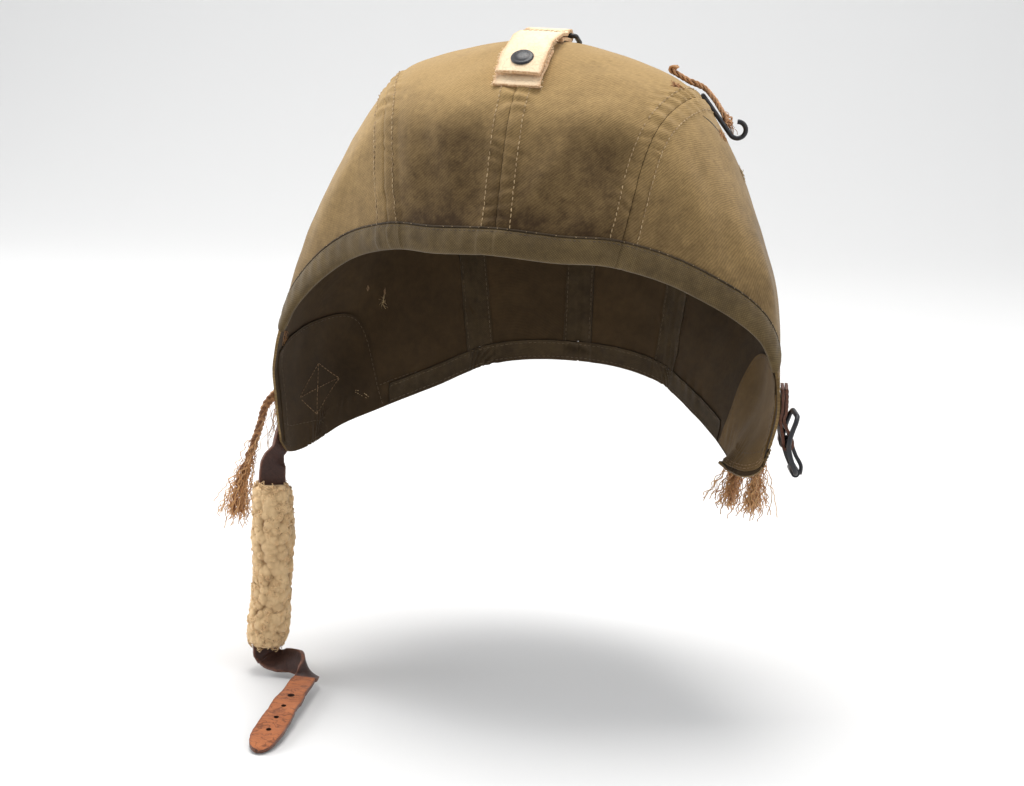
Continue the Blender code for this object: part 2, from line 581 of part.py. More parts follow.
def crown_fittings(parts, cutters):
    """The leather strap over the crown seam, with its base tab, snap fastener, heel and wire ring."""
    tab_lift = CLOTH / 2 + GAP + CROWN_LEATHER / 2
    front = BASE_TAB_FRONT_SHARE * HEM_GUIDE
    pitch = shell_slopes(0, front)[1].length
    widths = steps_between(-CROWN_STRAP_WIDTH / 2, CROWN_STRAP_WIDTH / 2, 4)

    def over_seam(name, lifts):
        rows = [[beside(0, g, x, lift) for g, lift in lifts] for x in widths]
        return sheet(name, rows, CROWN_LEATHER, "natural_leather", parts)

    tab_guides = steps_between(front, front + BASE_TAB_LENGTH / pitch, 5)
    over_seam("crown_base_tab", [(g, tab_lift) for g in tab_guides])

    snap_guide = SNAP_SHARE * HEM_GUIDE
    up = shell_normal(0, snap_guide)
    seat = place_matrix(shell_point(0, snap_guide), Vector((1, 0, 0)), up)
    tab_top = tab_lift + CROWN_LEATHER / 2
    flange_base = tab_top + GAP
    flange_top = flange_base + SNAP_FLANGE_HEIGHT
    strap_under = CROWN_STRAP_RISE + tab_lift - CROWN_LEATHER / 2
    strap_over = strap_under + CROWN_LEATHER
    socket_top = strap_under - GAP
    socket_base = socket_top - SNAP_SOCKET_HEIGHT
    flange, post = SNAP_FLANGE_DIAMETER / 2, SNAP_POST_DIAMETER / 2
    turned("snap_stud", [(0, flange_base), (flange, flange_base), (flange, flange_top), (post, flange_top),
                         (post, socket_top - GAP), (0, socket_top - GAP)], seat, "black_enamel", parts)
    outer, bore = SNAP_SOCKET_DIAMETER / 2, post + GAP
    ring = [(bore, socket_base), (outer, socket_base), (outer, socket_top), (bore, socket_top)]
    turned("snap_socket", ring, seat, "black_enamel", parts, closed=True)
    stem, rim = SNAP_STEM_DIAMETER / 2, SNAP_CAP_DIAMETER / 2
    cap_base = strap_over + GAP
    cap = [(0, strap_under), (stem, strap_under), (stem, cap_base), (rim, cap_base),
           (rim, cap_base + SNAP_RIM_HEIGHT)]
    for turn in steps_between(0, math.pi / 2, ARC_STEPS)[1:-1]:
        height = cap_base + SNAP_RIM_HEIGHT + (SNAP_CAP_HEIGHT - SNAP_RIM_HEIGHT) * math.sin(turn)
        cap.append((rim * math.cos(turn), height))
    cap.append((0, cap_base + SNAP_CAP_HEIGHT))
    turned("snap_cap", cap, seat, "black_enamel", parts)

    heel_guide = HEEL_SHARE * HEM_GUIDE
    end_guide = STRAP_END_SHARE * HEM_GUIDE
    low = CLOTH / 2 + GAP + CROWN_LEATHER + GAP + CROWN_LEATHER / 2
    high = CROWN_STRAP_RISE + tab_lift
    lifts = []
    for g in steps_between(end_guide, heel_guide - 2 * GAP / pitch, 12):
        run = min((heel_guide - g) / (heel_guide - snap_guide), 1)
        lifts.append((g, low + (high - low) * math.sin(run * math.pi / 2)))
    strap = over_seam("crown_strap", lifts)
    hole = place_matrix(seat @ Vector((0, 0, high)), Vector((1, 0, 0)), up)
    cut_round_holes(strap, [(hole, SNAP_STEM_DIAMETER + 2 * GAP, CROWN_LEATHER + CUT_OVERRUN)], cutters)

    # The heel: the strap's end goes on over the ring's bar and back underneath, where it is sewn down
    bar_radius = RING_WIRE / 2
    fold_radius = bar_radius + GAP + CROWN_LEATHER / 2
    heel_pitch = shell_slopes(0, heel_guide)[1].length
    under = CLOTH / 2 + GAP + CROWN_LEATHER / 2
    bar_lift = under + fold_radius
    bar_offset = fold_radius * 3
    path = [(2 * GAP, low), (bar_offset / 3, (low + bar_lift + fold_radius) / 2),
            (bar_offset, bar_lift + fold_radius)]
    for turn in steps_between(math.pi / 2, -math.pi / 2, 2 * ARC_STEPS)[1:]:
        path.append((bar_offset + fold_radius * math.cos(turn), bar_lift + fold_radius * math.sin(turn)))
    path.append((-bar_offset / 2, under))
    path.append((-bar_offset * 1.4, under))
    centres = [lifted(0, heel_guide + along / heel_pitch, lift) for along, lift in path]
    sides = [Vector((1, 0, 0))] * len(centres)
    ribbon("crown_strap_heel", centres, sides, [CROWN_STRAP_WIDTH] * len(centres), CROWN_LEATHER,
           "natural_leather", parts)

    bar = lifted(0, heel_guide + bar_offset / heel_pitch, bar_lift)
    rest = CLOTH / 2 + GAP + bar_radius
    back = lifted(0, heel_guide + (bar_offset + RING_LENGTH) / heel_pitch, rest + GAP) - bar
    ring_place = place_matrix(bar, Vector((1, 0, 0)), Vector((1, 0, 0)).cross(back))
    frame = rounded_frame(RING_WIDTH - RING_WIRE, RING_LENGTH, RING_BAR_CORNER, RING_CORNER)
    wire("crown_ring", [ring_place @ p for p in frame], RING_WIRE, "black_enamel", parts, closed=True)
    return {"crown_strap_hinge": lifted(0, heel_guide, low + CROWN_LEATHER / 2), "crown_ring_hinge": bar}


def rounded_frame(width, length, bar_corner, far_corner):
    """The middle line of a wire frame: its bar lies on local X, its length runs along local Y."""
    corners = [(1, bar_corner, bar_corner, -math.pi / 2), (1, far_corner, length - far_corner, 0),
               (-1, far_corner, length - far_corner, math.pi / 2), (-1, bar_corner, bar_corner, math.pi)]
    points = []
    for side, radius, y, start in corners:
        x = side * (width / 2 - radius)
        for turn in steps_between(start, start + math.pi / 2, ARC_STEPS - 2):
            points.append(Vector((x + radius * math.cos(turn), y + radius * math.sin(turn), 0)))
    return points


def hook_fittings(parts):
    """The braid sewn over the wearer's upper left, and the wire hook that hangs in its fold."""
    (first_s, first_g), (last_s, last_g) = HOOK_BRAID_SHARES
    start = Vector((first_s * TIP_STATION, first_g * HEM_GUIDE))
    end = Vector((last_s * TIP_STATION, last_g * HEM_GUIDE))
    rest = CLOTH / 2 + GAP
    wire_lift = rest + GAP + HOOK_WIRE / 2
    over = wire_lift + HOOK_WIRE / 2 + GAP + HOOK_BRAID / 2
    flat = rest + HOOK_BRAID / 2
    free = HOOK_WIRE / 2 + 2 * GAP
    past_eye = HOOK_EYE_WIDTH / 2 - GAP
    path = []
    sides = []
    widths = []
    for k, (rise, narrow) in enumerate(HOOK_BRAID_RISES):
        place = start.lerp(end, k / (len(HOOK_BRAID_RISES) - 1))
        side = shell_slopes(place.x, place.y)[1]
        shift = (past_eye / 2 + free) * narrow
        path.append(lifted(place.x, place.y + shift / side.length, flat + (over - flat) * rise))
        sides.append(side)
        widths.append(HOOK_BRAID_WIDTH + (past_eye - HOOK_BRAID_WIDTH) * narrow)
    ribbon("hook_braid", path, sides, widths, HOOK_BRAID, "braided_cord", parts)

    eye = start.lerp(end, HOOK_EYE_RUN)
    centre = lifted(eye.x, eye.y, wire_lift)
    down = (lifted(end.x, end.y, wire_lift) - centre).normalized()
    bar = shell_slopes(eye.x, eye.y)[1].normalized()
    out = bar.cross(down).normalized()
    if out.dot(shell_normal(eye.x, eye.y)) < 0:
        out = -out
    place = place_matrix(centre, down, out)
    half = HOOK_EYE_WIDTH / 2
    points = [Vector((0, -half, 0)), Vector((0, 0, 0))]
    points += [Vector((HOOK_SHANK * share, 0, 0)) for share in (0.12, 0.35, 0.6, 0.82, 1)]
    for turn in steps_between(0, HOOK_CURL_TURN, 2 * ARC_STEPS)[1:]:
        points.append(Vector((HOOK_SHANK + HOOK_CURL_RADIUS * math.sin(turn), 0,
                              HOOK_CURL_RADIUS * (1 - math.cos(turn)))))
    wire("mask_hook", [place @ p for p in points], HOOK_WIRE, "black_enamel", parts)
    return {"mask_hook_hinge": centre, "mask_hook_axis": down.cross(out),
            "hook_curl_middle": place @ Vector((HOOK_SHANK, 0, HOOK_CURL_RADIUS))}


def flap_point(centre, along, offset, lift):
    """A point on a flap, offset in its tangent plane from a place by (down the strap, across it)."""
    station, guide = centre
    slope_s, slope_g = shell_slopes(station, guide)
    normal = slope_s.cross(slope_g).normalized()
    down = (along - normal * along.dot(normal)).normalized()
    across = normal.cross(down)
    move = down * offset[0] + across * offset[1]
    ss, sg, gg = slope_s.dot(slope_s), slope_s.dot(slope_g), slope_g.dot(slope_g)
    ms, mg = move.dot(slope_s), move.dot(slope_g)
    det = ss * gg - sg * sg
    return lifted(station + (ms * gg - mg * sg) / det, guide + (mg * ss - ms * sg) / det, lift)


def on_flap(side, y, z, lift):
    """The point over a flap (side 1 left, -1 right) whose place in the cloth has this Y and Z."""
    station, guide = side * (TIP_STATION - 1.0), 1.0
    for _ in range(12):
        point = shell_point(station, guide)
        slope_s, slope_g = shell_slopes(station, guide)
        det = slope_s.y * slope_g.z - slope_s.z * slope_g.y
        off_y, off_z = y - point.y, z - point.z
        station += (off_y * slope_g.z - off_z * slope_g.y) / det
        guide += (slope_s.y * off_z - slope_s.z * off_y) / det
        station = side * min(max(side * station, SEAM_STATION), TIP_STATION)
        guide = min(max(guide, 0), HEM_GUIDE)
    return lifted(station, guide, lift)


def chin_strap_fittings(parts, cutters):
    """The chin strap on the wearer's right: anchor, hanging strap, fleece sleeve and holed tail."""
    centre = (ANCHOR_SHARES[0] * TIP_STATION, ANCHOR_SHARES[1] * HEM_GUIDE)
    along = Vector(ANCHOR_DIRECTION)
    lift = CLOTH / 2 + GAP + STRAP_LEATHER / 2
    front = (1 - ANCHOR_BACK_SHARE) * ANCHOR_LENGTH
    foot = flap_point(centre, along, (front, 0), lift)
    heading = (foot - flap_point(centre, along, (front - STRAP_WIDTH / 2, 0), lift)).normalized()
    half = STRAP_WIDTH / 2
    across = flap_point(centre, along, (front, half), lift) - flap_point(centre, along, (front, -half), lift)
    across = (across - heading * across.dot(heading)).normalized()
    rows = [[foot + heading * (ANCHOR_RUN_OUT * run) + across * w for w in steps_between(-half, half, 4)]
            for run in (1, 0.5, 0)]
    for x in steps_between(front, -ANCHOR_BACK_SHARE * ANCHOR_LENGTH, 9)[1:]:
        width = STRAP_WIDTH + (ANCHOR_WIDTH - STRAP_WIDTH) * min(1, (front - x) / ANCHOR_WIDTH)
        places = steps_between(-width / 2, width / 2, 4)
        rows.append([flap_point(centre, along, (x, w), lift) for w in places])
    sheet("chin_strap_anchor", rows, STRAP_LEATHER, "dark_leather", parts)

    out = heading.cross(across).normalized()
    if out.x > 0:
        out = -out
    start = foot + heading * (ANCHOR_RUN_OUT + HINGE_GAP)
    hinge = start - heading * (HINGE_GAP / 2) - out * (STRAP_LEATHER * HINGE_DEPTH_SHARE)
    axis = Vector(SLEEVE_DIRECTION).normalized()
    flat = Vector(SLEEVE_FLAT_DIRECTION)
    flat = (flat - axis * flat.dot(axis)).normalized()
    if across.dot(flat) < 0:
        across = -across
    top = start + heading * STRAP_LEAD + axis * STRAP_DROP
    straight = SLEEVE_LENGTH + STRAP_FOOT
    bottom = top + axis * straight
    turned_path = Vector((TWIST_INWARD, -TWIST_FORWARD, -TWIST_DROP))
    path = []
    sides = []
    for lead, drop, turn in LEAD_SHARES:
        path.append(start + heading * (STRAP_LEAD * lead) + axis * (STRAP_DROP * drop))
        sides.append(across.lerp(flat, turn))
    for share in steps_between(0, 1, 6):
        path.append(top + axis * (straight * share))
        sides.append(flat)
    for x, y, z, side in TWIST_SHARES:
        path.append(bottom + Vector((turned_path.x * x, turned_path.y * y, turned_path.z * z)))
        sides.append(Vector(side))
    widths = [STRAP_NECK_WIDTH] + [STRAP_WIDTH] * (len(path) - 1)
    ribbon("chin_strap", path, sides, widths, STRAP_LEATHER, "dark_leather", parts)
    fleece_sleeve(top, axis, flat, parts)
    strap_end = path[-1]
    tail_way = Vector(TAIL_DIRECTION).normalized()
    strap_tail(strap_end + tail_way * TAIL_FOLD, parts, cutters)
    fold = strap_end + tail_way * (TAIL_FOLD / 2) + Vector((0, 0, STRAP_LEATHER * FOLD_HEIGHT_SHARE))
    return {"chin_strap_hinge": hinge, "sleeve_axis": axis, "tail_hinge": fold, "sleeve_top": top}


def fleece_sleeve(top, axis, flat, parts):
    """The sheepskin sleeve round the strap: a soft round tube with the strap's slot right through it."""
    thin = axis.cross(flat)
    half_slot = STRAP_WIDTH / 2 + SLEEVE_CLEARANCE
    half_gap = STRAP_LEATHER / 2 + SLEEVE_CLEARANCE
    bow = Vector(SLEEVE_BOW_DIRECTION) * SLEEVE_BOW
    rings = []
    corner = math.atan2(half_gap, half_slot)
    half_turn = steps_between(corner, math.pi - corner, SLEEVE_SIDES // 2 - 1)
    turns = half_turn + [math.pi + turn for turn in half_turn]
    for turn in turns:
        direction = flat * math.cos(turn) + thin * math.sin(turn)
        ring = []
        for run, share in FLEECE_SHARES:
            middle = top + axis * (SLEEVE_LENGTH * run) + bow * math.sin(math.pi * run)
            ring.append(middle + direction * (SLEEVE_RADIUS * share))
        reach = max(abs(math.cos(turn)) / half_slot, abs(math.sin(turn)) / half_gap)
        for run in (1, 0):
            ring.append(top + axis * (SLEEVE_LENGTH * run) + direction / reach)
        rings.append(ring)
    loft("sheepskin_sleeve", rings, "sheepskin", parts, closed=True)


def strap_tail(root, parts, cutters):
    """The strap's leaf-shaped end, flesh side up, with its row of holes."""
    heading = Vector(TAIL_DIRECTION).normalized()
    side = Vector((-heading.y, heading.x, 0)).normalized()
    up = side.cross(heading)
    path = []
    widths = []
    for run in TAIL_RUN_SHARES:
        if run > TAIL_ROUND_SHARE:
            part = (run - TAIL_ROUND_SHARE) / (1 - TAIL_ROUND_SHARE)
            width = TAIL_WIDTH * math.sqrt(max(1 - part ** 2, TAIL_TIP_SHARE ** 2))
        else:
            part = math.sin(math.pi / 2 * run / TAIL_ROUND_SHARE)
            width = TAIL_ROOT_WIDTH + (TAIL_WIDTH - TAIL_ROOT_WIDTH) * part
        path.append(root + heading * (TAIL_LENGTH * run) - up * (TAIL_SAG * math.sin(math.pi * run)))
        widths.append(width)
    tail = ribbon("chin_strap_tail", path, [side] * len(path), widths, STRAP_LEATHER, "tan_leather", parts)
    holes = []
    for k in range(4):
        along = TAIL_FIRST_HOLE + TAIL_HOLE_PITCH * k
        sag = TAIL_SAG * math.sin(math.pi * along / TAIL_LENGTH)
        place = place_matrix(root + heading * along - up * sag, side, up)
        diameter = TAIL_HOLE_DIAMETER if k else TAIL_FIRST_HOLE_DIAMETER
        holes.append((place, diameter, STRAP_LEATHER + CUT_OVERRUN))
    cut_round_holes(tail, holes, cutters)


def buckle_fittings(parts, cutters):
    """The wire buckle on the wearer's left: leather tab, bowed frame, roller and prong."""
    bar = on_flap(1, BUCKLE_SHARES[0] * REACH, BUCKLE_SHARES[1] * DROP, BUCKLE_STAND_OFF)
    out = Vector(BUCKLE_OUT).normalized()
    bar_way = out.cross(Vector((0, 0, 1))).normalized()
    # Local X runs along the bars, local Y down, local Z out of the flap
    place = place_matrix(bar, bar_way, out)
    half_width = (BUCKLE_WIDTH - BUCKLE_WIRE) / 2
    half_height = (BUCKLE_HEIGHT - BUCKLE_WIRE) / 2

    def bowed(x, y):
        return place @ Vector((x, y, BUCKLE_BOW * (abs(y) / half_height) ** 1.5))
    points = []
    for x_side, y_side, start in ((1, 1, 0), (-1, 1, math.pi / 2), (-1, -1, math.pi), (1, -1, 1.5 * math.pi)):
        for turn in steps_between(start, start + math.pi / 2, ARC_STEPS - 2):
            points.append((x_side * (half_width - BUCKLE_CORNER) + BUCKLE_CORNER * math.cos(turn),
                           y_side * (half_height - BUCKLE_CORNER) + BUCKLE_CORNER * math.sin(turn)))
        x, y = points[-1]
        if x_side * y_side > 0:
            continue
        points += [(x, y * share) for share in (0.55, 0, -0.55)]
    outline = [bowed(x, y) for x, y in points]
    frame = wire("buckle_frame", outline, BUCKLE_WIRE, "black_enamel", parts, closed=True)
    bar_mesh = wire("buckle_bar", [place @ Vector((x, 0, 0)) for x in (-half_width, half_width)],
                    BUCKLE_WIRE * BAR_SHARE, "black_enamel", cutters)
    bar_mesh.hide_render = True
    bar_mesh.display_type = "WIRE"
    join = frame.modifiers.new("centre_bar", "BOOLEAN")
    join.operation = "UNION"
    join.object = bar_mesh

    roller_bore = BUCKLE_WIRE / 2 + GAP
    roller = place @ Matrix.Translation((0, half_height, BUCKLE_BOW)) @ Matrix.Rotation(math.pi / 2, 4, "Y")
    half_roller = ROLLER_LENGTH / 2
    turned("buckle_roller", [(roller_bore, -half_roller), (roller_bore + ROLLER_WALL, -half_roller),
                             (roller_bore + ROLLER_WALL, half_roller), (roller_bore, half_roller)],
           roller, "black_enamel", parts, closed=True)

    eye = BUCKLE_WIRE / 2 + GAP + PRONG_WIRE / 2
    roller_out = roller_bore + ROLLER_WALL + GAP + PRONG_WIRE / 2
    prong = [Vector((0, eye * math.cos(turn), eye * math.sin(turn)))
             for turn in steps_between(-0.2 * math.pi, -1.5 * math.pi, 2 * ARC_STEPS)]
    prong += [Vector((0, half_height * 0.45, eye + (BUCKLE_BOW + roller_out - eye) * 0.45)),
              Vector((0, half_height * 0.85, BUCKLE_BOW + roller_out)),
              Vector((0, half_height + roller_bore + ROLLER_WALL, BUCKLE_BOW + roller_out - GAP))]
    wire("buckle_prong", [place @ p for p in prong], PRONG_WIRE, "black_enamel", parts)

    # The tab: sewn to the flap above, round the bar and back under itself, slotted for the prong
    turn_radius = BUCKLE_WIRE / 2 + GAP + BUCKLE_TAB_LEATHER / 2
    rest = CLOTH / 2 + GAP + BUCKLE_TAB_LEATHER / 2
    rises = [BUCKLE_TAB_RISE * share for share in BUCKLE_TAB_RISE_SHARES]
    sewn = [on_flap(1, bar.y, bar.z + rise, rest) for rise in rises]
    loop = [Vector((0, -turn_radius * 1.2, -turn_radius))]
    loop += [Vector((0, turn_radius * math.sin(turn), -turn_radius * math.cos(turn)))
             for turn in steps_between(0, math.pi, 2 * ARC_STEPS)]
    loop = [place @ p for p in loop]
    upper = BUCKLE_TAB_LEATHER + GAP
    outer = [place @ Vector((0, -turn_radius * 1.3, turn_radius * 0.8))]
    outer += [on_flap(1, bar.y, bar.z + rise, rest + upper) for rise in reversed(rises)]
    path = sewn + loop + outer
    half_tab = BUCKLE_TAB_WIDTH / 2
    lying = []
    for rise in rises:
        front = on_flap(1, bar.y - half_tab, bar.z + rise, rest)
        lying.append(front - on_flap(1, bar.y + half_tab, bar.z + rise, rest))
    sides = lying + [bar_way] * (len(loop) + 1) + lying[::-1]
    widths = [BUCKLE_TAB_WIDTH] * len(path)
    tab = ribbon("buckle_tab", path, sides, widths, BUCKLE_TAB_LEATHER, "dark_leather", parts)
    slot = PRONG_WIRE + 2 * PRONG_SLOT_CLEARANCE
    depth = 2 * (eye + PRONG_WIRE)
    mesh = bpy.data.meshes.new("buckle_tab_slot")
    body = bmesh.new()
    bmesh.ops.create_cube(body, size=1, matrix=place @ Matrix.Diagonal((slot, depth, 2 * depth, 1)))
    body.to_mesh(mesh)
    body.free()
    cutter = bpy.data.objects.new("buckle_tab_slot", mesh)
    cutter.hide_render = True
    cutter.display_type = "WIRE"
    cutters.objects.link(cutter)
    cut = tab.modifiers.new("prong_slot", "BOOLEAN")
    cut.operation = "DIFFERENCE"
    cut.object = cutter
    return {"buckle_hinge": bar, "buckle_bar_way": bar_way,
            "roller_hinge": place @ Vector((0, half_height, BUCKLE_BOW))}


def braid_ends(parts):
    """The loose ends of flat braid on the outside of both flaps, each widening into its fray."""
    lift = CLOTH / 2 + 3 * GAP + BRAID / 2
    ends = (("right_braid", -1, RIGHT_BRAID_SEWN, RIGHT_BRAID_FREE, RIGHT_BRAID_HANG),
            ("left_braid_front", 1, LEFT_FRONT_BRAID_SEWN, LEFT_FRONT_BRAID_FREE, LEFT_FRONT_BRAID_HANG),
            ("left_braid_rear", 1, LEFT_REAR_BRAID_SEWN, LEFT_REAR_BRAID_FREE, LEFT_REAR_BRAID_HANG))
    for name, side, shares, free, hang in ends:
        sewn = [(y * REACH, z * DROP) for y, z in shares]
        points = [on_flap(side, y, z, lift) for y, z in sewn]
        across = []
        for k, (y, z) in enumerate(sewn):
            ahead = points[min(k + 1, len(sewn) - 1)] - points[max(k - 1, 0)]
            across.append(ahead.cross(on_flap(side, y, z, 2 * lift) - points[k]).normalized())
        points += [points[-1] + Vector((side * x, y, z)) * hang for x, y, z in free]
        across += [across[-1]] * len(free)
        stops = steps_between(0, len(points) - 1, 3 * (len(points) - 1))
        route = [spline(points, at) for at in stops]
        sides = [spline(across, at) for at in stops]
        widths = []
        for at in stops:
            run = at / (len(points) - 1)
            opened = max(0, min(1, (run - BRAID_SPREAD_START) / BRAID_SPREAD_RUN))
            widths.append(BRAID_WIDTH + (FRAY_WIDTH - BRAID_WIDTH) * opened)
        ribbon(name, route, sides, widths, BRAID, "braided_cord", parts)


def main():
    clear_scene()
    parts = make_collection("flying_helmet")
    cutters = make_collection("cutters")
    panel("right_side_panel", -TIP_STATION, -SEAM_STATION, parts)
    panel("right_crown_panel", -SEAM_STATION, 0, parts)
    panel("left_crown_panel", 0, SEAM_STATION, parts)
    panel("left_side_panel", SEAM_STATION, TIP_STATION, parts)
    seam_tape("right_seam_tape", -SEAM_STATION, parts)
    seam_tape("centre_seam_tape", 0, parts)
    seam_tape("left_seam_tape", SEAM_STATION, parts)
    face_binding(parts)
    hem_tape(parts)
    flap_facing("right_flap_facing", -1, parts)
    flap_facing("left_flap_facing", 1, parts)
    places = crown_fittings(parts, cutters)
    places.update(hook_fittings(parts))
    places.update(chin_strap_fittings(parts, cutters))
    places.update(buckle_fittings(parts, cutters))
    braid_ends(parts)
    for name, value in places.items():
        print(name, [round(v, 5) for v in value])


main()
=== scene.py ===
# %% [markdown]
# A soft flying helmet, dressed for its picture. Cloth, leather, fleece and wire are each modelled
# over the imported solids, which are the frame: every length is in metres, +Z is up, and -Y is the
# way the face opening looks. The wearer's left is +X.

# %% The frame
import math

import bpy
import numpy as np
from mathutils import Matrix, Vector


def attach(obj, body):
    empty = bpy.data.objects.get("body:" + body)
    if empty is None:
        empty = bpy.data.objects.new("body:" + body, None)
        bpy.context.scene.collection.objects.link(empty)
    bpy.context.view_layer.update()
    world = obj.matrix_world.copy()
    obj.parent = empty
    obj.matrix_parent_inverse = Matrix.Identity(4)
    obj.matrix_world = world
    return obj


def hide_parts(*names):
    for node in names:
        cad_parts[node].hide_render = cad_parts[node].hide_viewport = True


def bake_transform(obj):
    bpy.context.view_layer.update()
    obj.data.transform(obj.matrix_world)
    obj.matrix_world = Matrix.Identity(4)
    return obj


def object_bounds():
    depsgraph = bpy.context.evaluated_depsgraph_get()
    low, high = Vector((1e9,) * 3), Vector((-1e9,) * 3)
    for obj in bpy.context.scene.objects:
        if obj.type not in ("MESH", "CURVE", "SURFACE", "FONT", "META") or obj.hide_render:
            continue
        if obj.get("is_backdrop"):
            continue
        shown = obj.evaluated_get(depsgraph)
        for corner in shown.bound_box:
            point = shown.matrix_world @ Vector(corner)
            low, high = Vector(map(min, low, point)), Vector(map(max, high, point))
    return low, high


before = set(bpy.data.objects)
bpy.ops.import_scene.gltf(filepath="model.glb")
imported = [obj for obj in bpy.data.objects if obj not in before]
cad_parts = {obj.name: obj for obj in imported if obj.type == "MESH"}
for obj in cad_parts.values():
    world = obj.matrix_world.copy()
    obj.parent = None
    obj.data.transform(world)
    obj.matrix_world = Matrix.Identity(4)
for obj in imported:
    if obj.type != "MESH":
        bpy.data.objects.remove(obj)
cad_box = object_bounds()
print("frame box", [[round(v, 4) for v in corner] for corner in cad_box])


# %% [markdown]
# The camera stands where the photograph was taken from: a little to the wearer's left of the middle and
# above the brow, with a long lens, so the flaps don't spread. A small roll levels the brow edge.

# %% The camera
CAMERA_PLACE = Vector((0.2790, -1.0235, 0.0685))
CAMERA_AZIMUTH = math.radians(16.0)
CAMERA_PITCH = math.radians(14.25)
CAMERA_ROLL = math.radians(1.9)
CAMERA_LENS = 66.0

bpy.ops.object.camera_add()
camera = bpy.context.object
camera.name = "photo_camera"
camera.matrix_world = (Matrix.Translation(CAMERA_PLACE) @ Matrix.Rotation(CAMERA_AZIMUTH, 4, "Z")
                       @ Matrix.Rotation(math.pi / 2 - CAMERA_PITCH, 4, "X") @ Matrix.Rotation(CAMERA_ROLL, 4, "Z"))
camera.data.lens = CAMERA_LENS
camera.data.sensor_width = 36.0
bpy.context.scene.camera = camera
print("camera", [round(v, 3) for v in camera.location])


# %% [markdown]
# A product table: one pale floor just under the strap's tail, a big soft lamp above and behind the
# camera's left shoulder, a weaker one on the right, and a pale sky that fills the shadows.

# %% The table and the light
FLOOR_DROP = 0.0008      # the table lies this much under the lowest solid


def deselect():
    """Leaves nothing selected, so the next operator acts on its own object."""
    if bpy.context.object and bpy.context.object.mode != "OBJECT":
        bpy.ops.object.mode_set(mode="OBJECT")
    bpy.ops.object.select_all(action="DESELECT")


def only(piece):
    """Makes a piece the active object and the only one selected."""
    deselect()
    bpy.context.view_layer.objects.active = piece
    piece.select_set(True)


deselect()
bpy.ops.mesh.primitive_grid_add(x_subdivisions=4, y_subdivisions=40, size=1)
table = bpy.context.object
table.name = "table"
floor = cad_box[0][2] - FLOOR_DROP
ahead, aside = np.array((-0.2756, 0.9613, 0)), np.array((0.9613, 0.2756, 0))
for vertex in table.data.vertices:
    run = (vertex.co.y + 0.5) * 40
    turn = max(0, min(run - 20, 15)) / 15 * math.pi / 2
    far = -3.0 + 4.4 * min(run, 20) / 20 + 1.2 * math.sin(turn)
    up = 1.2 * (1 - math.cos(turn)) + 0.5 * max(0, run - 35)
    vertex.co = Vector(ahead * far + aside * (vertex.co.x * 9)) + Vector((0, 0, floor + up))
bpy.ops.object.shade_smooth()
table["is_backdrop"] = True


def lamp(name, place, aim, size, power, colour=(1, 1, 1)):
    """A square soft lamp that looks at a point."""
    bpy.ops.object.light_add(type="AREA", location=place)
    light = bpy.context.object
    light.name = name
    light.data.size = size
    light.data.energy = power
    light.data.color = colour
    light.rotation_euler = (Vector(aim) - Vector(place)).to_track_quat("-Z", "Y").to_euler()
    return light


lamp("top_lamp", (-0.15, 0.30, 1.5), (0, 0, -0.1), 1.0, 24.0, (1.0, 0.98, 0.95))
lamp("right_lamp", (-1.4, -0.15, 0.45), (0, 0, -0.15), 1.0, 14.0)
lamp("left_lamp", (1.4, 0.0, 0.6), (0, 0, -0.15), 1.0, 8.0)
lamp("wall_lamp", tuple(ahead * 0.4 + (0, 0, 2.2)), tuple(ahead * 2.4 + (0, 0, 0.6)), 2.0, 20.0)
world = bpy.data.worlds.new("pale_studio")
bpy.context.scene.world = world
world.use_nodes = True
sky = world.node_tree.nodes["Background"].inputs
sky["Color"].default_value = (0.93, 0.95, 0.97, 1)
sky["Strength"].default_value = 0.46
bpy.context.scene.view_settings.view_transform = "Standard"


# %% [markdown]
# Materials are node trees. A helper adds one node, sets or links its sockets by name, and gives the
# node back, so a finish reads from top to bottom like a recipe.

# %% A helper for finishes
def add(tree, kind, settings=None, **sockets):
    """Adds a shader node; a socket's name is written with _ for a space, and takes a value or an output."""
    made = tree.nodes.new("ShaderNode" + kind)
    for key, value in (settings or {}).items():
        setattr(made, key, value)
    for key, value in sockets.items():
        socket = made.inputs[int(key[3:]) if key.startswith("at_") else key.replace("_", " ")]
        if isinstance(value, bpy.types.NodeSocket):
            tree.links.new(value, socket)
        else:
            socket.default_value = value
    return made


def new_finish(name):
    """A new material, its tree, and the place on the object that its patterns read."""
    material = bpy.data.materials.new(name)
    material.use_nodes = True
    tree = material.node_tree
    tree.nodes.clear()
    return material, tree, add(tree, "TexCoord").outputs["Object"]


def close_finish(tree, colour, roughness, bump, strength, distance, **others):
    """Ends a finish: a Principled shader with a colour, a roughness, one bump and other sockets."""
    relief = add(tree, "Bump", Strength=strength, Distance=distance, Height=bump).outputs["Normal"]
    shader = add(tree, "BsdfPrincipled", Base_Color=colour, Roughness=roughness, Normal=relief, **others)
    add(tree, "OutputMaterial", Surface=shader.outputs["BSDF"])


# %% Values, sums and patterns in a finish
def attribute(tree, name):
    """What a piece holds at each point under a name, such as its wear."""
    return add(tree, "Attribute", {"attribute_name": name}).outputs["Fac"]


def mixed(tree, factor, first, second):
    """A colour between two colours, by a factor."""
    return add(tree, "Mix", {"data_type": "RGBA"}, at_0=factor, at_6=first, at_7=second).outputs[2]


def spread(tree, value, low, high, to_low=0.0, to_high=1.0):
    """A value's range stretched onto another range, and kept in it."""
    return add(tree, "MapRange", Value=value, From_Min=low, From_Max=high, To_Min=to_low,
               To_Max=to_high).outputs["Result"]


def maths(tree, operation, first, second):
    """One sum on two values."""
    return add(tree, "Math", {"operation": operation}, at_0=first, at_1=second).outputs["Value"]


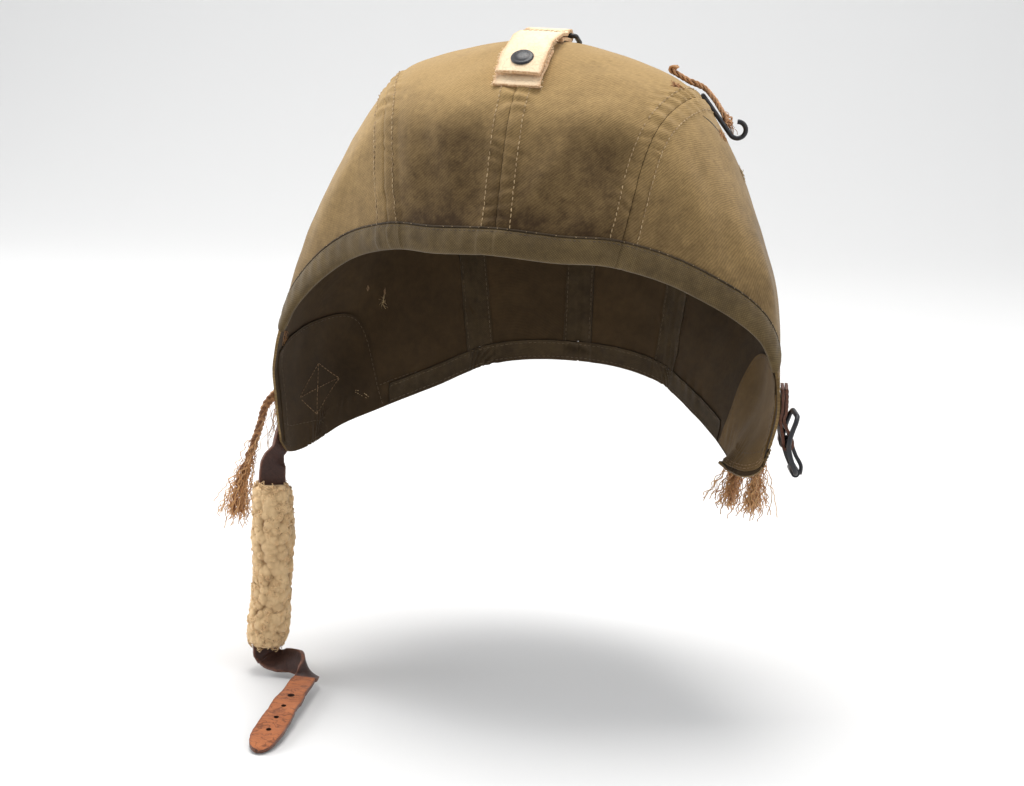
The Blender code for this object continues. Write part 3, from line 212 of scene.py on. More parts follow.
def product(tree, first, second):
    """One value times another."""
    return maths(tree, "MULTIPLY", first, second)


def weighed(tree, *parts):
    """The sum of several values, each with its weight; a weight of None takes the value as it is."""
    total = None
    for value, weight in parts:
        part = value if weight is None else product(tree, value, weight)
        total = part if total is None else maths(tree, "ADD", total, part)
    return total


def noise_at(tree, vector, scale, detail=3.0, roughness=0.55):
    """A noise pattern's value."""
    return add(tree, "TexNoise", Vector=vector, Scale=scale, Detail=detail, Roughness=roughness).outputs["Fac"]


def ribs_at(tree, uv, turn, scale, distortion, detail, detail_scale):
    """Woven ribs: waves across a map that is turned by so many degrees."""
    turned = add(tree, "Mapping", Vector=uv, Rotation=(0, 0, math.radians(turn)), Scale=(scale, scale, scale))
    return add(tree, "TexWave", Vector=turned.outputs["Vector"], Scale=1.0, Distortion=distortion, Detail=detail,
               Detail_Scale=detail_scale).outputs["Fac"]


# %% [markdown]
# The shell is one smooth surface. Guide points are given as shares of three real sizes: a station
# runs from the crown's middle (0) down to a flap's tip (6, and -6 on the wearer's right), and a
# guide from the face edge (0) back to the neck hem (4). A spline goes through them both ways.

# %% The surface of the helmet
HALF_SPREAD = 0.147
REACH = 0.096
DROP = 0.242
CLOTH = 0.0016
GAP = 0.0003
TIP = 6
SEAM = 2
HEM = 4
STATION_SHARES = [
    [(0.000, -0.990, -0.426), (0.000, -0.708, -0.116), (0.000, 0.000, 0.000),
     (0.000, 0.917, -0.256), (0.000, 1.000, -0.839)],
    [(0.224, -0.948, -0.434), (0.293, -0.688, -0.128), (0.340, 0.040, -0.037),
     (0.272, 0.875, -0.264), (0.218, 0.958, -0.843)],
    [(0.422, -0.833, -0.442), (0.510, -0.594, -0.165), (0.592, 0.063, -0.116),
     (0.510, 0.771, -0.306), (0.395, 0.854, -0.864)],
    [(0.660, -0.646, -0.496), (0.741, -0.438, -0.322), (0.782, 0.063, -0.314),
     (0.687, 0.646, -0.438), (0.571, 0.604, -0.909)],
    [(0.891, -0.521, -0.620), (0.918, -0.313, -0.521), (0.898, 0.083, -0.529),
     (0.796, 0.458, -0.636), (0.735, 0.271, -0.946)],
    [(1.000, -0.448, -0.777), (0.986, -0.250, -0.752), (0.952, -0.021, -0.760),
     (0.898, 0.146, -0.810), (0.830, 0.063, -0.967)],
    [(0.959, -0.479, -0.967), (0.939, -0.427, -0.996), (0.912, -0.313, -1.000),
     (0.891, -0.208, -0.992), (0.871, -0.104, -0.983)],
]
LEFT_FLAP_SHARES = [
    [(0.932, -0.479, -0.607), (0.932, -0.292, -0.512), (0.898, 0.083, -0.529),
     (0.796, 0.458, -0.636), (0.728, 0.292, -0.955)],
    [(1.000, -0.396, -0.760), (0.973, -0.208, -0.744), (0.932, 0.000, -0.760),
     (0.878, 0.167, -0.810), (0.776, 0.042, -0.959)],
    [(0.966, -0.396, -0.884), (0.946, -0.417, -0.917), (0.891, -0.406, -0.934),
     (0.830, -0.344, -0.934), (0.776, -0.260, -0.921)],
]


def guide_table():
    """The guide points in metres, with one extrapolated row and column past each end."""
    right = np.array(STATION_SHARES[:0:-1]) * (-1, 1, 1)
    left = np.array(STATION_SHARES[:4] + LEFT_FLAP_SHARES)
    table = np.concatenate([right, left]) * (HALF_SPREAD, REACH, DROP) + (0, 0, CLOTH / 2)
    table = np.concatenate([2 * table[:1] - table[1:2], table, 2 * table[-1:] - table[-2:-1]])
    return np.concatenate([2 * table[:, :1] - table[:, 1:2], table, 2 * table[:, -1:] - table[:, -2:-1]], axis=1)


GUIDE_TABLE = guide_table()


# %% A spline through the guide points
def spline_weights(at, last):
    """The span each value lies in, and its four weights."""
    span = np.clip(np.floor(at).astype(int), 0, last - 1)
    t = at - span
    return span, 0.5 * np.stack([-t + 2 * t**2 - t**3, 2 - 5 * t**2 + 3 * t**3, t + 4 * t**2 - 3 * t**3, t**3 - t**2])


def surface(station, guide):
    """Points of the cloth's middle surface, for arrays of stations and guides."""
    station, guide = np.broadcast_arrays(np.asarray(station, float), np.asarray(guide, float))
    i, wi = spline_weights(station + TIP, 2 * TIP)
    j, wj = spline_weights(guide, HEM)
    total = 0
    for a in range(4):
        for b in range(4):
            total = total + (wi[a] * wj[b])[..., None] * GUIDE_TABLE[i + a, j + b]
    return total


def surface_slopes(station, guide, step=0.004):
    """The surface's two slopes, along the stations and along the guides."""
    station, guide = np.broadcast_arrays(np.asarray(station, float), np.asarray(guide, float))
    low_s, high_s = np.maximum(station - step, -TIP), np.minimum(station + step, TIP)
    low_g, high_g = np.maximum(guide - step, 0), np.minimum(guide + step, HEM)
    along_s = (surface(high_s, guide) - surface(low_s, guide)) / (high_s - low_s)[..., None]
    along_g = (surface(station, high_g) - surface(station, low_g)) / (high_g - low_g)[..., None]
    return along_s, along_g


def unit(vectors):
    """Vectors of length one."""
    return vectors / np.maximum(np.linalg.norm(vectors, axis=-1, keepdims=True), 1e-12)


def outward(station, guide):
    """The direction out of the cloth."""
    return unit(np.cross(*surface_slopes(station, guide)))


def over(station, guide, lift):
    """The point at a lift over the cloth's middle surface."""
    return surface(station, guide) + outward(station, guide) * np.asarray(lift)[..., None]


def pace(station, guide, way=0):
    """Metres of cloth in one station (way 0) or in one guide (way 1)."""
    return np.linalg.norm(surface_slopes(station, guide)[way], axis=-1)


# %% [markdown]
# Sewing is measured along the cloth, so two tables hold the walked lengths: how far a place lies
# from the face edge, and how far from the crown's middle line. They also give the cloth its UV map
# in metres, so the weave keeps its real scale and bends with the panel.

# %% Lengths along the cloth
S_CELLS, G_CELLS = 240, 160


def walked_along(points, axis=0):
    """The length walked along lines of points, from zero at their start."""
    steps = np.linalg.norm(np.diff(points, axis=axis), axis=-1)
    return np.concatenate([np.zeros_like(np.take(steps, [0], axis)), np.cumsum(steps, axis=axis)], axis=axis)


GRID_G = np.linspace(0, HEM, G_CELLS + 1)
GRID = surface(np.linspace(-TIP, TIP, S_CELLS + 1)[:, None], GRID_G[None, :])
FROM_FACE = walked_along(GRID, 1)
FROM_MIDDLE = walked_along(GRID, 0)
FROM_MIDDLE = FROM_MIDDLE - FROM_MIDDLE[S_CELLS // 2]


def look(table, station, guide):
    """A table's value between its grid points."""
    a = np.clip((np.asarray(station, float) + TIP) / (2 * TIP) * S_CELLS, 0, S_CELLS - 0.001)
    b = np.clip(np.asarray(guide, float) / HEM * G_CELLS, 0, G_CELLS - 0.001)
    i, j = a.astype(int), b.astype(int)
    p, q = a - i, b - j
    return (table[i, j] * (1 - p) * (1 - q) + table[i + 1, j] * p * (1 - q)
            + table[i, j + 1] * (1 - p) * q + table[i + 1, j + 1] * p * q)


def guide_from_face(station, distance, hem=False):
    """The guide at a walked distance in from the face edge, or from the neck hem."""
    row = np.clip(np.round((np.asarray(station, float) + TIP) / (2 * TIP) * S_CELLS).astype(int), 0, S_CELLS)
    row = np.atleast_1d(row)
    return np.array([np.interp(FROM_FACE[r, -1] - d if hem else d, FROM_FACE[r], GRID_G)
                     for r, d in zip(row, np.broadcast_to(distance, row.shape))])


def guide_from_hem(station, distance):
    """The guide at a walked distance in from the neck hem."""
    return guide_from_face(station, distance, hem=True)


print("brow edge", round(float(look(FROM_MIDDLE, 4.47, 0) - look(FROM_MIDDLE, -4.47, 0)), 3), "m along the cloth")


# %% [markdown]
# Real cloth is never as smooth as its pattern. Relief is how far the outer face stands off the
# smooth surface at each place: slow folds, the flat band of each pressed-open seam with its crease,
# the dents of the stitch lines, and small puckers where the thread has drawn the cloth in.

# %% Relief of the sewn cloth
SEAM_ROW = 0.0075        # a stitch line lies this far from its seam
HEM_ROW = 0.0105         # and the upper one of the hem this far from the edge
EDGE_FADE = (0.012, 0.03)      # the folds fade out over this stretch towards an edge
FOLD_WIDTH, FOLD_LENGTH = 0.0075, 0.026
PUCKER, PUCKER_PITCH = 0.00095, 0.0075
WAVE_DIRECTIONS = unit(np.random.default_rng(7).normal(size=(9, 3)))
WAVE_PHASES = np.random.default_rng(8).uniform(0, 2 * math.pi, 9)


def slow_waves(points, length):
    """A smooth, even noise from nine crossed waves of about one length, between -1 and 1."""
    total = 0
    for k in range(9):
        stretch = 0.75 + 0.07 * k
        total = total + np.sin(points @ WAVE_DIRECTIONS[k] * (2 * math.pi / (length * stretch)) + WAVE_PHASES[k])
    return total / 4.5


def bell(value, width):
    """One at zero, falling off over a width."""
    return np.exp(-((value / width) ** 2))


def ease(value, low, high):
    """0 under low, 1 over high, smooth between."""
    t = np.clip((value - low) / (high - low), 0, 1)
    return t * t * (3 - 2 * t)


DENT, DENT_RADIUS, DENT_DEPTH = surface(1.48, 0.66), 0.017, 0.0038
SOFT_FOLDS = [   # a place, the way the fold runs, and its height
    (surface(0.62, 0.50), (0.5, 0.3, 0.8), 0.0021), (surface(-0.75, 0.60), (-0.45, 0.4, 0.8), 0.0024),
    (surface(-0.45, 0.35), (-0.40, 0.4, 0.8), -0.0017), (surface(-1.45, 0.60), (-0.2, 0.4, 0.9), 0.0016),
    (surface(1.60, 0.25), (0.55, 0.4, 0.75), 0.0017), (surface(1.10, 0.30), (0.5, 0.35, 0.8), -0.0015),
    (surface(2.75, 0.75), (0.45, -0.1, -0.9), 0.0020), (surface(3.35, 0.60), (0.45, -0.2, -0.85), -0.0017),
    (surface(3.80, 1.00), (0.40, -0.3, -0.85), 0.0016), (surface(-2.9, 0.75), (-0.45, 0.1, -0.9), 0.0019),
    (surface(-3.6, 0.80), (-0.40, -0.2, -0.9), -0.0014), (surface(2.9, 2.6), (0.45, 0.2, -0.85), 0.0020),
    (surface(-3.0, 2.7), (-0.45, 0.2, -0.85), 0.0018), (surface(0.9, 2.9), (0.2, 0.5, -0.8), 0.0017),
    (surface(-1.0, 3.0), (-0.2, 0.5, -0.8), 0.0016)]


# %% The relief, and the two faces of the cloth
def relief(station, guide):
    """How far the cloth's outer face stands off the smooth surface."""
    station, guide = np.broadcast_arrays(np.asarray(station, float), np.asarray(guide, float))
    points = surface(station, guide)
    soft = -DENT_DEPTH * bell(np.linalg.norm(points - DENT, axis=-1), DENT_RADIUS)
    for place, way, deep in SOFT_FOLDS:
        off = points - place
        way = unit(np.array(way))
        down = off @ way
        side = np.linalg.norm(off - down[..., None] * way, axis=-1)
        soft = soft + deep * bell(side, FOLD_WIDTH) * bell(down, FOLD_LENGTH)
    walked = look(FROM_FACE, station, guide)
    to_hem = look(FROM_FACE, station, HEM) - walked
    height = soft * ease(walked, *EDGE_FADE) * ease(to_hem, *EDGE_FADE)
    height = height + 0.0007 * slow_waves(points, 0.06) + 0.00028 * slow_waves(points + 3.1, 0.022)
    slope = pace(station, guide)
    for seam in (-SEAM, 0, SEAM):
        off = (station - seam) * slope
        near = np.abs(off)
        height = height + 0.0007 * (1 - ease(near, 0.0080, 0.0096)) - 0.0005 * bell(off, 0.0005)
        height = height + 0.0003 * ease(off, -0.0002, 0.0004) * (1 - ease(off, 0.002, 0.007))
        height = height - 0.00022 * bell(near - SEAM_ROW, 0.0006)
        ripple = np.sin(2 * math.pi * walked / PUCKER_PITCH + 5 * slow_waves(points, 0.03))
        ripple = ripple * (0.55 + 0.6 * slow_waves(points + 7.7, 0.02))
        height = height + PUCKER * ripple * bell(near - 0.5 * SEAM_ROW, 0.0060)
    height = height + 0.0005 * (1 - ease(to_hem, HEM_ROW, 0.0125)) - 0.0002 * bell(to_hem - HEM_ROW, 0.0006)
    height = height + 0.0003 * np.sin(2 * math.pi * look(FROM_MIDDLE, station, guide) / 0.012
                                      + 4 * slow_waves(points, 0.05)) * bell(to_hem - 0.012, 0.006)
    return height


def outer_face(station, guide, lift=0.0):
    """A point on the cloth's outer face, or at a lift over it."""
    return over(station, guide, relief(station, guide) + CLOTH / 2 + lift)


def inner_face(station, guide, lift=0.0):
    """A point on the cloth's inner face, or at a lift under it."""
    return over(station, guide, relief(station, guide) - CLOTH / 2 - lift)


print("relief by the centre seam", [round(1000 * float(v), 2) for v in relief(np.array((0.0, 0.1, 0.3)), 1.0)], "mm")


# %% [markdown]
# The khaki twill: diagonal ribs a little over a millimetre apart, paler on the crown's top and edges,
# partly sun-paled and partly as painted light from above, and darker over the brow with painted shade.
# The ribs come from bands across the UV map, their furrows painted darker as painted shade, and two
# sizes of noise mottle the dye. The cloth is matt, with a little sheen.

# %% The twill
def twill_finish(name, pale, deep, shade, ribbed=0.38):
    """Woven twill between a pale and a deep colour, mixed by random dye tone and by the wear values, which also hold
    painted light and shade; shade is the colour painted into the furrows between its ribs as painted shade.
    """
    material, tree, place = new_finish(name)
    uv = add(tree, "UVMap", {"uv_map": "weave"}).outputs["UV"]
    rib, rib_turn = 0.0013, 45
    scale = 2 * math.pi / (20 * rib)
    ribs = ribs_at(tree, uv, rib_turn, scale, 5.5, 3.0, 0.35)
    yarn = ribs_at(tree, uv, rib_turn + 68, scale * 1.35, 2.0, 2.0, 0.8)
    slub = add(tree, "Mapping", {"vector_type": "TEXTURE"}, Vector=uv, Rotation=(0, 0, -math.radians(rib_turn)),
               Scale=(0.6 * rib, 2.4 * rib, 1.0)).outputs["Vector"]
    slubs = spread(tree, noise_at(tree, slub, 1.0, 2.0, 0.5), 0.32, 0.68)
    weave = weighed(tree, (ribs, 0.45), (yarn, 0.20), (slubs, 0.35))
    broad = spread(tree, noise_at(tree, place, 22.0, 4.0, 0.6), 0.25, 0.75)
    fine = spread(tree, noise_at(tree, place, 160.0, 5.0, 0.7), 0.3, 0.7)
    # The mix factor is random dye tone plus the wear values, which paint light on the crown's top and shade over the
    # brow.
    dye_and_shade = weighed(tree, (broad, 0.34), (fine, 0.25), (attribute(tree, "wear_and_shade"), None))
    dyed_and_shaded = mixed(tree, spread(tree, dye_and_shade, 0.15, 1.0), deep, pale)
    # Painted shade: the weave's furrows take the darker shade colour.
    colour = mixed(tree, spread(tree, weave, 0.2, 0.75, ribbed, 0.0), dyed_and_shaded, shade)
    close_finish(tree, colour, 0.92, weave, 0.35, 0.00025, Sheen_Weight=0.12, Specular_IOR_Level=0.25)
    return material


# The deep colour is dark enough to carry the painted shade over the brow. The inside twill is the same cloth darkened
# as painted shade, and the turned twill is a paler copy, painted light for the left flap's facing.
khaki = twill_finish("khaki_twill", (0.450, 0.296, 0.122, 1), (0.056, 0.030, 0.011, 1), (0.036, 0.020, 0.007, 1))
khaki_shaded_inside = twill_finish("khaki_twill_painted_shade", (0.100, 0.059, 0.023, 1), (0.030, 0.017, 0.007, 1),
                            (0.03, 0.019, 0.01, 1), ribbed=0.10)
khaki_lit_facing = twill_finish("khaki_twill_painted_light", (0.29, 0.178, 0.068, 1), (0.110, 0.064, 0.024, 1),
                            (0.05, 0.033, 0.016, 1), ribbed=0.3)
print("khaki twill:", len(khaki.node_tree.nodes), "nodes")


# %% [markdown]
# A cloth panel starts as a flat grid, the way a cut piece lies on the table. Its corners are laid on
# the helmet's surface, its outer face is raised by the relief, and Solidify gives it thickness
# inwards. The weave's UV map is written before that, so both faces share it.

# %% Laying and finishing a piece
def laid(name, points, flat=None):
    """A grid primitive laid on points (rows, columns, 3); flat is its weave map in metres."""
    deselect()
    rows, columns = points.shape[:2]
    bpy.ops.mesh.primitive_grid_add(x_subdivisions=columns - 1, y_subdivisions=rows - 1, size=1)
    piece = bpy.context.object
    piece.name = name
    mesh = piece.data
    mesh.vertices.foreach_set("co", points.reshape(-1).astype(np.float32))
    for layer in list(mesh.uv_layers):
        mesh.uv_layers.remove(layer)
    if flat is not None:
        corners = np.empty(len(mesh.loops), dtype=np.int32)
        mesh.loops.foreach_get("vertex_index", corners)
        weave = mesh.uv_layers.new(name="weave")
        weave.data.foreach_set("uv", flat.reshape(-1, 2)[corners].reshape(-1).astype(np.float32))
    mesh.update()
    return piece


def laid_cloth(name, station, guide, points):
    """Cloth laid on points, with the map of its place on the helmet; arrays are (rows, columns)."""
    return laid(name, points, np.stack([look(table, station, guide) for table in (FROM_MIDDLE, FROM_FACE)], -1))


def set_values(piece, name, values):
    """Writes an attribute that a finish reads, one value a point."""
    layer = piece.data.attributes.new(name, "FLOAT", "POINT")
    layer.data.foreach_set("value", np.asarray(values, dtype=np.float32).reshape(-1))


def finished(piece, material, body, *nodes, smooth_angle=50, slot=None, back=None):
    """Smooth shading, the material (and that of its back), the body it rides on and the solids it stands for."""
    only(piece)
    bpy.ops.object.shade_smooth_by_angle(angle=math.radians(smooth_angle))
    which = np.zeros(len(piece.data.polygons), dtype=np.int32)
    piece.data.polygons.foreach_get("material_index", which)
    piece.data.materials.clear()
    piece.data.materials.append(material)
    if back:
        piece.data.materials.append(back)
        piece.data.polygons.foreach_set("material_index", which)
    if body:
        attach(piece, body)
    if nodes:
        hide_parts(*nodes)
    deselect()
    return piece


def applied(piece, kind, **settings):
    """Adds a modifier to a piece, sets it up and applies it."""
    only(piece)
    made = piece.modifiers.new(kind.lower(), kind)
    for key, value in settings.items():
        setattr(made, key, value)
    bpy.ops.object.modifier_apply(modifier=made.name)


def thicken(piece, thickness, offset=-1.0, backed=False):
    """Gives a sheet its thickness with Solidify; backed gives its other side a second material."""
    if backed:
        piece.data.materials.append(None)
        piece.data.materials.append(None)
    applied(piece, "SOLIDIFY", thickness=thickness, offset=offset, material_offset=int(backed))


def face_outwards(piece, station, guide):
    """Turns the faces over if they look inwards."""
    middle = piece.data.polygons[len(piece.data.polygons) // 2]
    if middle.normal.dot(Vector(outward(station, guide))) < 0:
        piece.data.flip_normals()


# %% The four panels
def cloth_wear_and_shade(station, guide):
    """Paler crown top, partly sun-paled and partly painted light from above; painted shade over the brow's front, in
    the dent and on the low flaps; painted side light, paler on the wearer's right and darker on the left.
    """
    points = surface(station, guide)
    high = ease(points[..., 2], -0.135, -0.004)
    front = ease(-points[..., 1], 0.02, 0.09)
    dent_shade = bell(np.linalg.norm(points - DENT, axis=-1), DENT_RADIUS)
    middle = 1 - ease(np.abs(points[..., 0]), 0.055, 0.100)
    brow_shade = front * middle * (1 - ease(points[..., 2], -0.050, -0.018))
    # Painted side light: the wearer's right is paler at the top and the left darker.
    painted_side_light = 0.14 * ease(-points[..., 0], 0.055, 0.090) * high - 0.08 * ease(points[..., 0], 0.070, 0.110)
    return 0.27 + 0.46 * high - 0.47 * brow_shade - 0.17 * dent_shade + painted_side_light + 0.08 * slow_waves(points, 0.05)


PANEL_CELL = 0.0016
MIDDLE_INSET = 0.00012   # the panels keep this much apart at a seam
for name, first, last in (("right_side_panel", -TIP, -SEAM), ("right_crown_panel", -SEAM, 0),
                          ("left_crown_panel", 0, SEAM), ("left_side_panel", SEAM, TIP)):
    width = abs(look(FROM_MIDDLE, last, 2.0) - look(FROM_MIDDLE, first, 2.0))
    rows = int(look(FROM_FACE, (first + last) / 2, HEM) / PANEL_CELL)
    share = np.linspace(0, 1, int(width / PANEL_CELL) + 1)
    station, guide = np.meshgrid(first + (last - first) * share, np.linspace(0, HEM, rows + 1))
    inset = MIDDLE_INSET / pace(station, guide)
    if abs(first) != TIP:
        station = station + (share == 0) * inset
    if abs(last) != TIP:
        station = station - (share == 1) * inset
    cloth = laid_cloth(name + "_cloth", station, guide, outer_face(station, guide))
    face_outwards(cloth, (first + last) / 2, 2.0)
    # These values paint light on the crown's top and shade over the brow and the flaps, besides sun-paling and random
    # tone.
    set_values(cloth, "wear_and_shade", cloth_wear_and_shade(station, guide))
    thicken(cloth, CLOTH, backed=True)
    finished(cloth, khaki, "helmet", name, slot="khaki_twill", back=khaki_shaded_inside)
    print(cloth.name, len(cloth.data.polygons), "faces")


# %% [markdown]
# Long thin things, such as straps, wires and yarns, follow a path of a few points. A spline runs
# smoothly through them, and gives as many points as the piece needs.

# %% Paths
def smooth_path(points, count):
    """A smooth curve through the points, as an array of count points."""
    points = np.asarray(points, float)
    last = len(points) - 1
    padded = np.concatenate([2 * points[:1] - points[1:2], points, 2 * points[-1:] - points[-2:-1]])
    span, weights = spline_weights(np.linspace(0, last, count), last)
    return sum(weights[k][:, None] * padded[span + k] for k in range(4))


def picked(at, known, values):
    """Rows of values read off between the places where they are known."""
    return np.stack([np.interp(at, known, column) for column in np.asarray(values).T], axis=-1)


def even_path(points, count):
    """The same curve with its points at equal steps."""
    fine = smooth_path(points, 12 * len(points))
    walked = walked_along(fine)
    return picked(np.linspace(0, walked[-1], count), walked, fine)


def squared(vectors, way):
    """Vectors of length one, turned square to a way."""
    return unit(vectors - way * np.sum(vectors * way, axis=-1, keepdims=True))


def ahead_of(path):
    """The direction of travel at each point of a path."""
    return unit(np.gradient(path, axis=0))


def length_of(path):
    """A path's length."""
    return float(walked_along(path)[-1])


# %% [markdown]
# A stitch is a short grain of thread with tapered ends. It is modelled once from a small sphere,
# and copied along every seam. There are well over a thousand, so the copies are written straight
# into one mesh for each group of seams, each with its own small turn and its own shade.

# %% One stitch
deselect()
bpy.ops.mesh.primitive_uv_sphere_add(segments=6, ring_count=4, radius=0.5, rotation=(0, math.pi / 2, 0))
bpy.ops.object.transform_apply(location=False, rotation=True, scale=False)
grain = bpy.context.object
STITCH_POINTS = np.array([v.co[:] for v in grain.data.vertices])
STITCH_FACES = [tuple(p.vertices) for p in grain.data.polygons]
bpy.data.objects.remove(grain)


def linked(name, data):
    """A new object in the scene."""
    piece = bpy.data.objects.new(name, data)
    bpy.context.scene.collection.objects.link(piece)
    return piece


def many(name, points, faces, shades):
    """One mesh of many copies: points (copies, points, 3), the faces of one copy, and a shade for each."""
    count, size = points.shape[:2]
    corner = np.concatenate([np.array(f) for f in faces])
    start = np.cumsum([0] + [len(f) for f in faces[:-1]])
    corners = (corner + size * np.arange(count)[:, None]).reshape(-1)
    starts = (start + len(corner) * np.arange(count)[:, None]).reshape(-1)
    mesh = bpy.data.meshes.new(name)
    mesh.vertices.add(count * size)
    mesh.vertices.foreach_set("co", points.reshape(-1).astype(np.float32))
    mesh.loops.add(len(corners))
    mesh.loops.foreach_set("vertex_index", corners.astype(np.int32))
    mesh.polygons.add(len(starts))
    mesh.polygons.foreach_set("loop_start", starts.astype(np.int32))
    mesh.update(calc_edges=True)
    shade = mesh.attributes.new("shade", "FLOAT", "POINT")
    shade.data.foreach_set("value", np.repeat(np.asarray(shades, np.float32), size))
    return linked(name, mesh)


# %% Rows of stitches
def stitch_frames(points, normals, rng, pitch=0.003, length=0.0023, width=0.0007, skip=0.015):
    """Places for stitches along one row, with a little of the unevenness of real sewing."""
    walked = walked_along(points)
    at = np.arange(pitch / 2, walked[-1] - pitch / 4, pitch)
    at = at[rng.random(len(at)) > skip]
    centre = picked(at, walked, points)
    ahead = unit(picked(at + 0.0004, walked, points) - picked(at - 0.0004, walked, points) + 1e-9)
    up = squared(picked(at, walked, normals), ahead)
    side = np.cross(up, ahead)
    turn = rng.normal(0, 0.06, (len(at), 1))
    ahead, side = ahead * np.cos(turn) + side * np.sin(turn), side * np.cos(turn) - ahead * np.sin(turn)
    stretch = rng.uniform(0.88, 1.08, (len(at), 1))
    return np.stack([ahead * length * stretch, side * width, up * width * 0.85, centre], axis=1)


def sewn(name, rows, material, body="helmet", seed=1, **sizes):
    """One mesh of stitches along several rows of (points, normals)."""
    rng = np.random.default_rng(seed)
    frames = np.concatenate([stitch_frames(points, normals, rng, **sizes) for points, normals in rows])
    placed = np.einsum("pk,nkx->npx", STITCH_POINTS, frames[:, :3]) + frames[:, None, 3]
    finished(many(name, placed, STITCH_FACES, rng.uniform(0, 1, len(frames))), material, body)
    print(name, len(frames), "stitches")


# %% Thread, and rows on both faces
def yarn_finish(name, dark, light, roughness=0.75):
    """Thread or yarn: each copy has its own shade, and a fine noise breaks its surface."""
    material, tree, place = new_finish(name)
    fuzz = noise_at(tree, place, 1800.0, 3.0, 0.7)
    level = weighed(tree, (attribute(tree, "shade"), 0.6), (fuzz, 0.5))
    close_finish(tree, mixed(tree, spread(tree, level, 0.15, 0.95), dark, light), roughness, fuzz, 0.3, 0.0002,
                 Sheen_Weight=0.2)
    return material


pale_thread = yarn_finish("pale_thread", (0.26, 0.165, 0.072, 1), (0.53, 0.375, 0.195, 1))
dark_thread = yarn_finish("dark_thread", (0.035, 0.022, 0.012, 1), (0.10, 0.065, 0.035, 1))
EVEN = np.linspace(0, 1, 160)
THREAD_LIFT = 0.00022


def outer_row(station, guide):
    """A row's points and normals on the outside of the cloth."""
    return outer_face(station, guide, THREAD_LIFT), outward(station, guide)


def inner_row(station, guide, lift):
    """A row's points and normals on the inside of the cloth."""
    return inner_face(station, guide, lift), -outward(station, guide)


def across(seam, guide, offset):
    """The station at a real distance to one side of a seam."""
    return seam + offset / pace(seam, guide)


# %% The rows of the three crown seams
seam_rows = []
for seam in (-SEAM, 0, SEAM):
    first = float(guide_from_face(seam, 0.0125)[0])
    guides = first + (HEM - first) * EVEN
    for offset in (-SEAM_ROW, SEAM_ROW):
        station = across(seam, guides, offset + 0.0003 * np.sin(guides * 3 + seam))
        seam_rows.append(outer_row(station, guides))
sewn("crown_seam_stitches", seam_rows, pale_thread, seed=3)


# %% The rows round the flaps' edges and the hem
BINDING_END = 0.745 * TIP
EDGE_ROWS = (0.0042, 0.0098)      # how far in from the flaps' edges they are sewn
edge_rows = []
for side in (-1, 1):
    station = side * (BINDING_END + 0.03 + (TIP - 0.12 - BINDING_END) * EVEN)
    edge_rows.append(outer_row(station, guide_from_face(station, EDGE_ROWS[0])))
    guides = 0.12 + (HEM - 0.3) * EVEN
    for inset in EDGE_ROWS:
        edge_rows.append(outer_row(side * (TIP - inset / pace(side * (TIP - 0.05), guides)), guides))
station = -TIP + 0.15 + (2 * TIP - 0.3) * np.linspace(0, 1, 700)
for inset in (0.0022, HEM_ROW):
    edge_rows.append(outer_row(station, guide_from_hem(station, inset)))
sewn("edge_stitches", edge_rows, pale_thread, seed=4)


# %% [markdown]
# The brow binding is a strip of olive tape, cut on the bias so that it follows the curve, folded
# round the raw edge and sewn through. Its top edge is turned under into a narrow roll, coloured
# dark to paint the shadow line along the fold.
# Its cross section is drawn as places in the cloth (distance in from the edge, height over the
# cloth), and the rings of the strip are laid one by one along the edge.

# %% The binding's finish
def tape_finish(name, dark, light, rib=0.0007):
    """Plain woven tape: two crossed sets of fine threads, seen on the bias, with the furrows between them painted
    darker as painted shade.
    """
    material, tree, place = new_finish(name)
    uv = add(tree, "UVMap", {"uv_map": "weave"}).outputs["UV"]
    scale = 2 * math.pi / (20 * rib)
    weave = product(tree, *[ribs_at(tree, uv, turn, scale, 1.5, 2.0, 0.6) for turn in (45, -45)])
    level = weighed(tree, (noise_at(tree, place, 35.0, 4.0, 0.65), 0.6), (noise_at(tree, place, 260.0, 4.0, 0.7), 0.4))
    base = mixed(tree, spread(tree, level, 0.35, 0.65), dark, light)
    # Painted shade: the weave's furrows darken the colour.
    colour = mixed(tree, spread(tree, weave, 0.0, 0.5, 0.45, 0.0), base, (*[0.4 * part for part in dark[:3]], 1))
    close_finish(tree, colour, 0.9, weave, 0.3, 0.0002, Sheen_Weight=0.15, Specular_IOR_Level=0.3)
    return material


olive = tape_finish("olive_bias_tape", (0.088, 0.057, 0.023, 1), (0.185, 0.125, 0.050, 1), 0.0010)
# A dark tape that paints the shadow line along the binding's turned edge.
fold_shadow_tape = tape_finish("bias_fold_painted_shadow", (0.042, 0.027, 0.013, 1), (0.110, 0.072, 0.034, 1), 0.0006)


# %% The binding round the brow
BINDING_SECTION = [   # (distance in from the edge, height over the cloth's face), in metres
    (0.0116, -0.0006), (0.0118, 0.0007), (0.0105, 0.0012), (0.0085, 0.0016), (0.0060, 0.0018), (0.0035, 0.0017),
    (0.0012, 0.0014), (-0.0007, 0.0007), (-0.0017, -0.0004), (-0.0020, -0.0013), (-0.0016, -0.0024),
    (-0.0006, -0.0031), (0.0012, -0.0036), (0.0040, -0.0038), (0.0068, -0.0036), (0.0086, -0.0030),
    (0.0092, -0.0024), (0.0090, -0.0010)]


def edge_place(station, distance, height):
    """A place by the face edge; past the edge the surface runs straight on. Height is over the outer face."""
    guide = guide_from_face(station, max(distance, 0))
    point = outer_face(station, guide, height)
    if distance < 0:
        point = point + unit(surface_slopes(station, guide)[1]) * distance
    return point


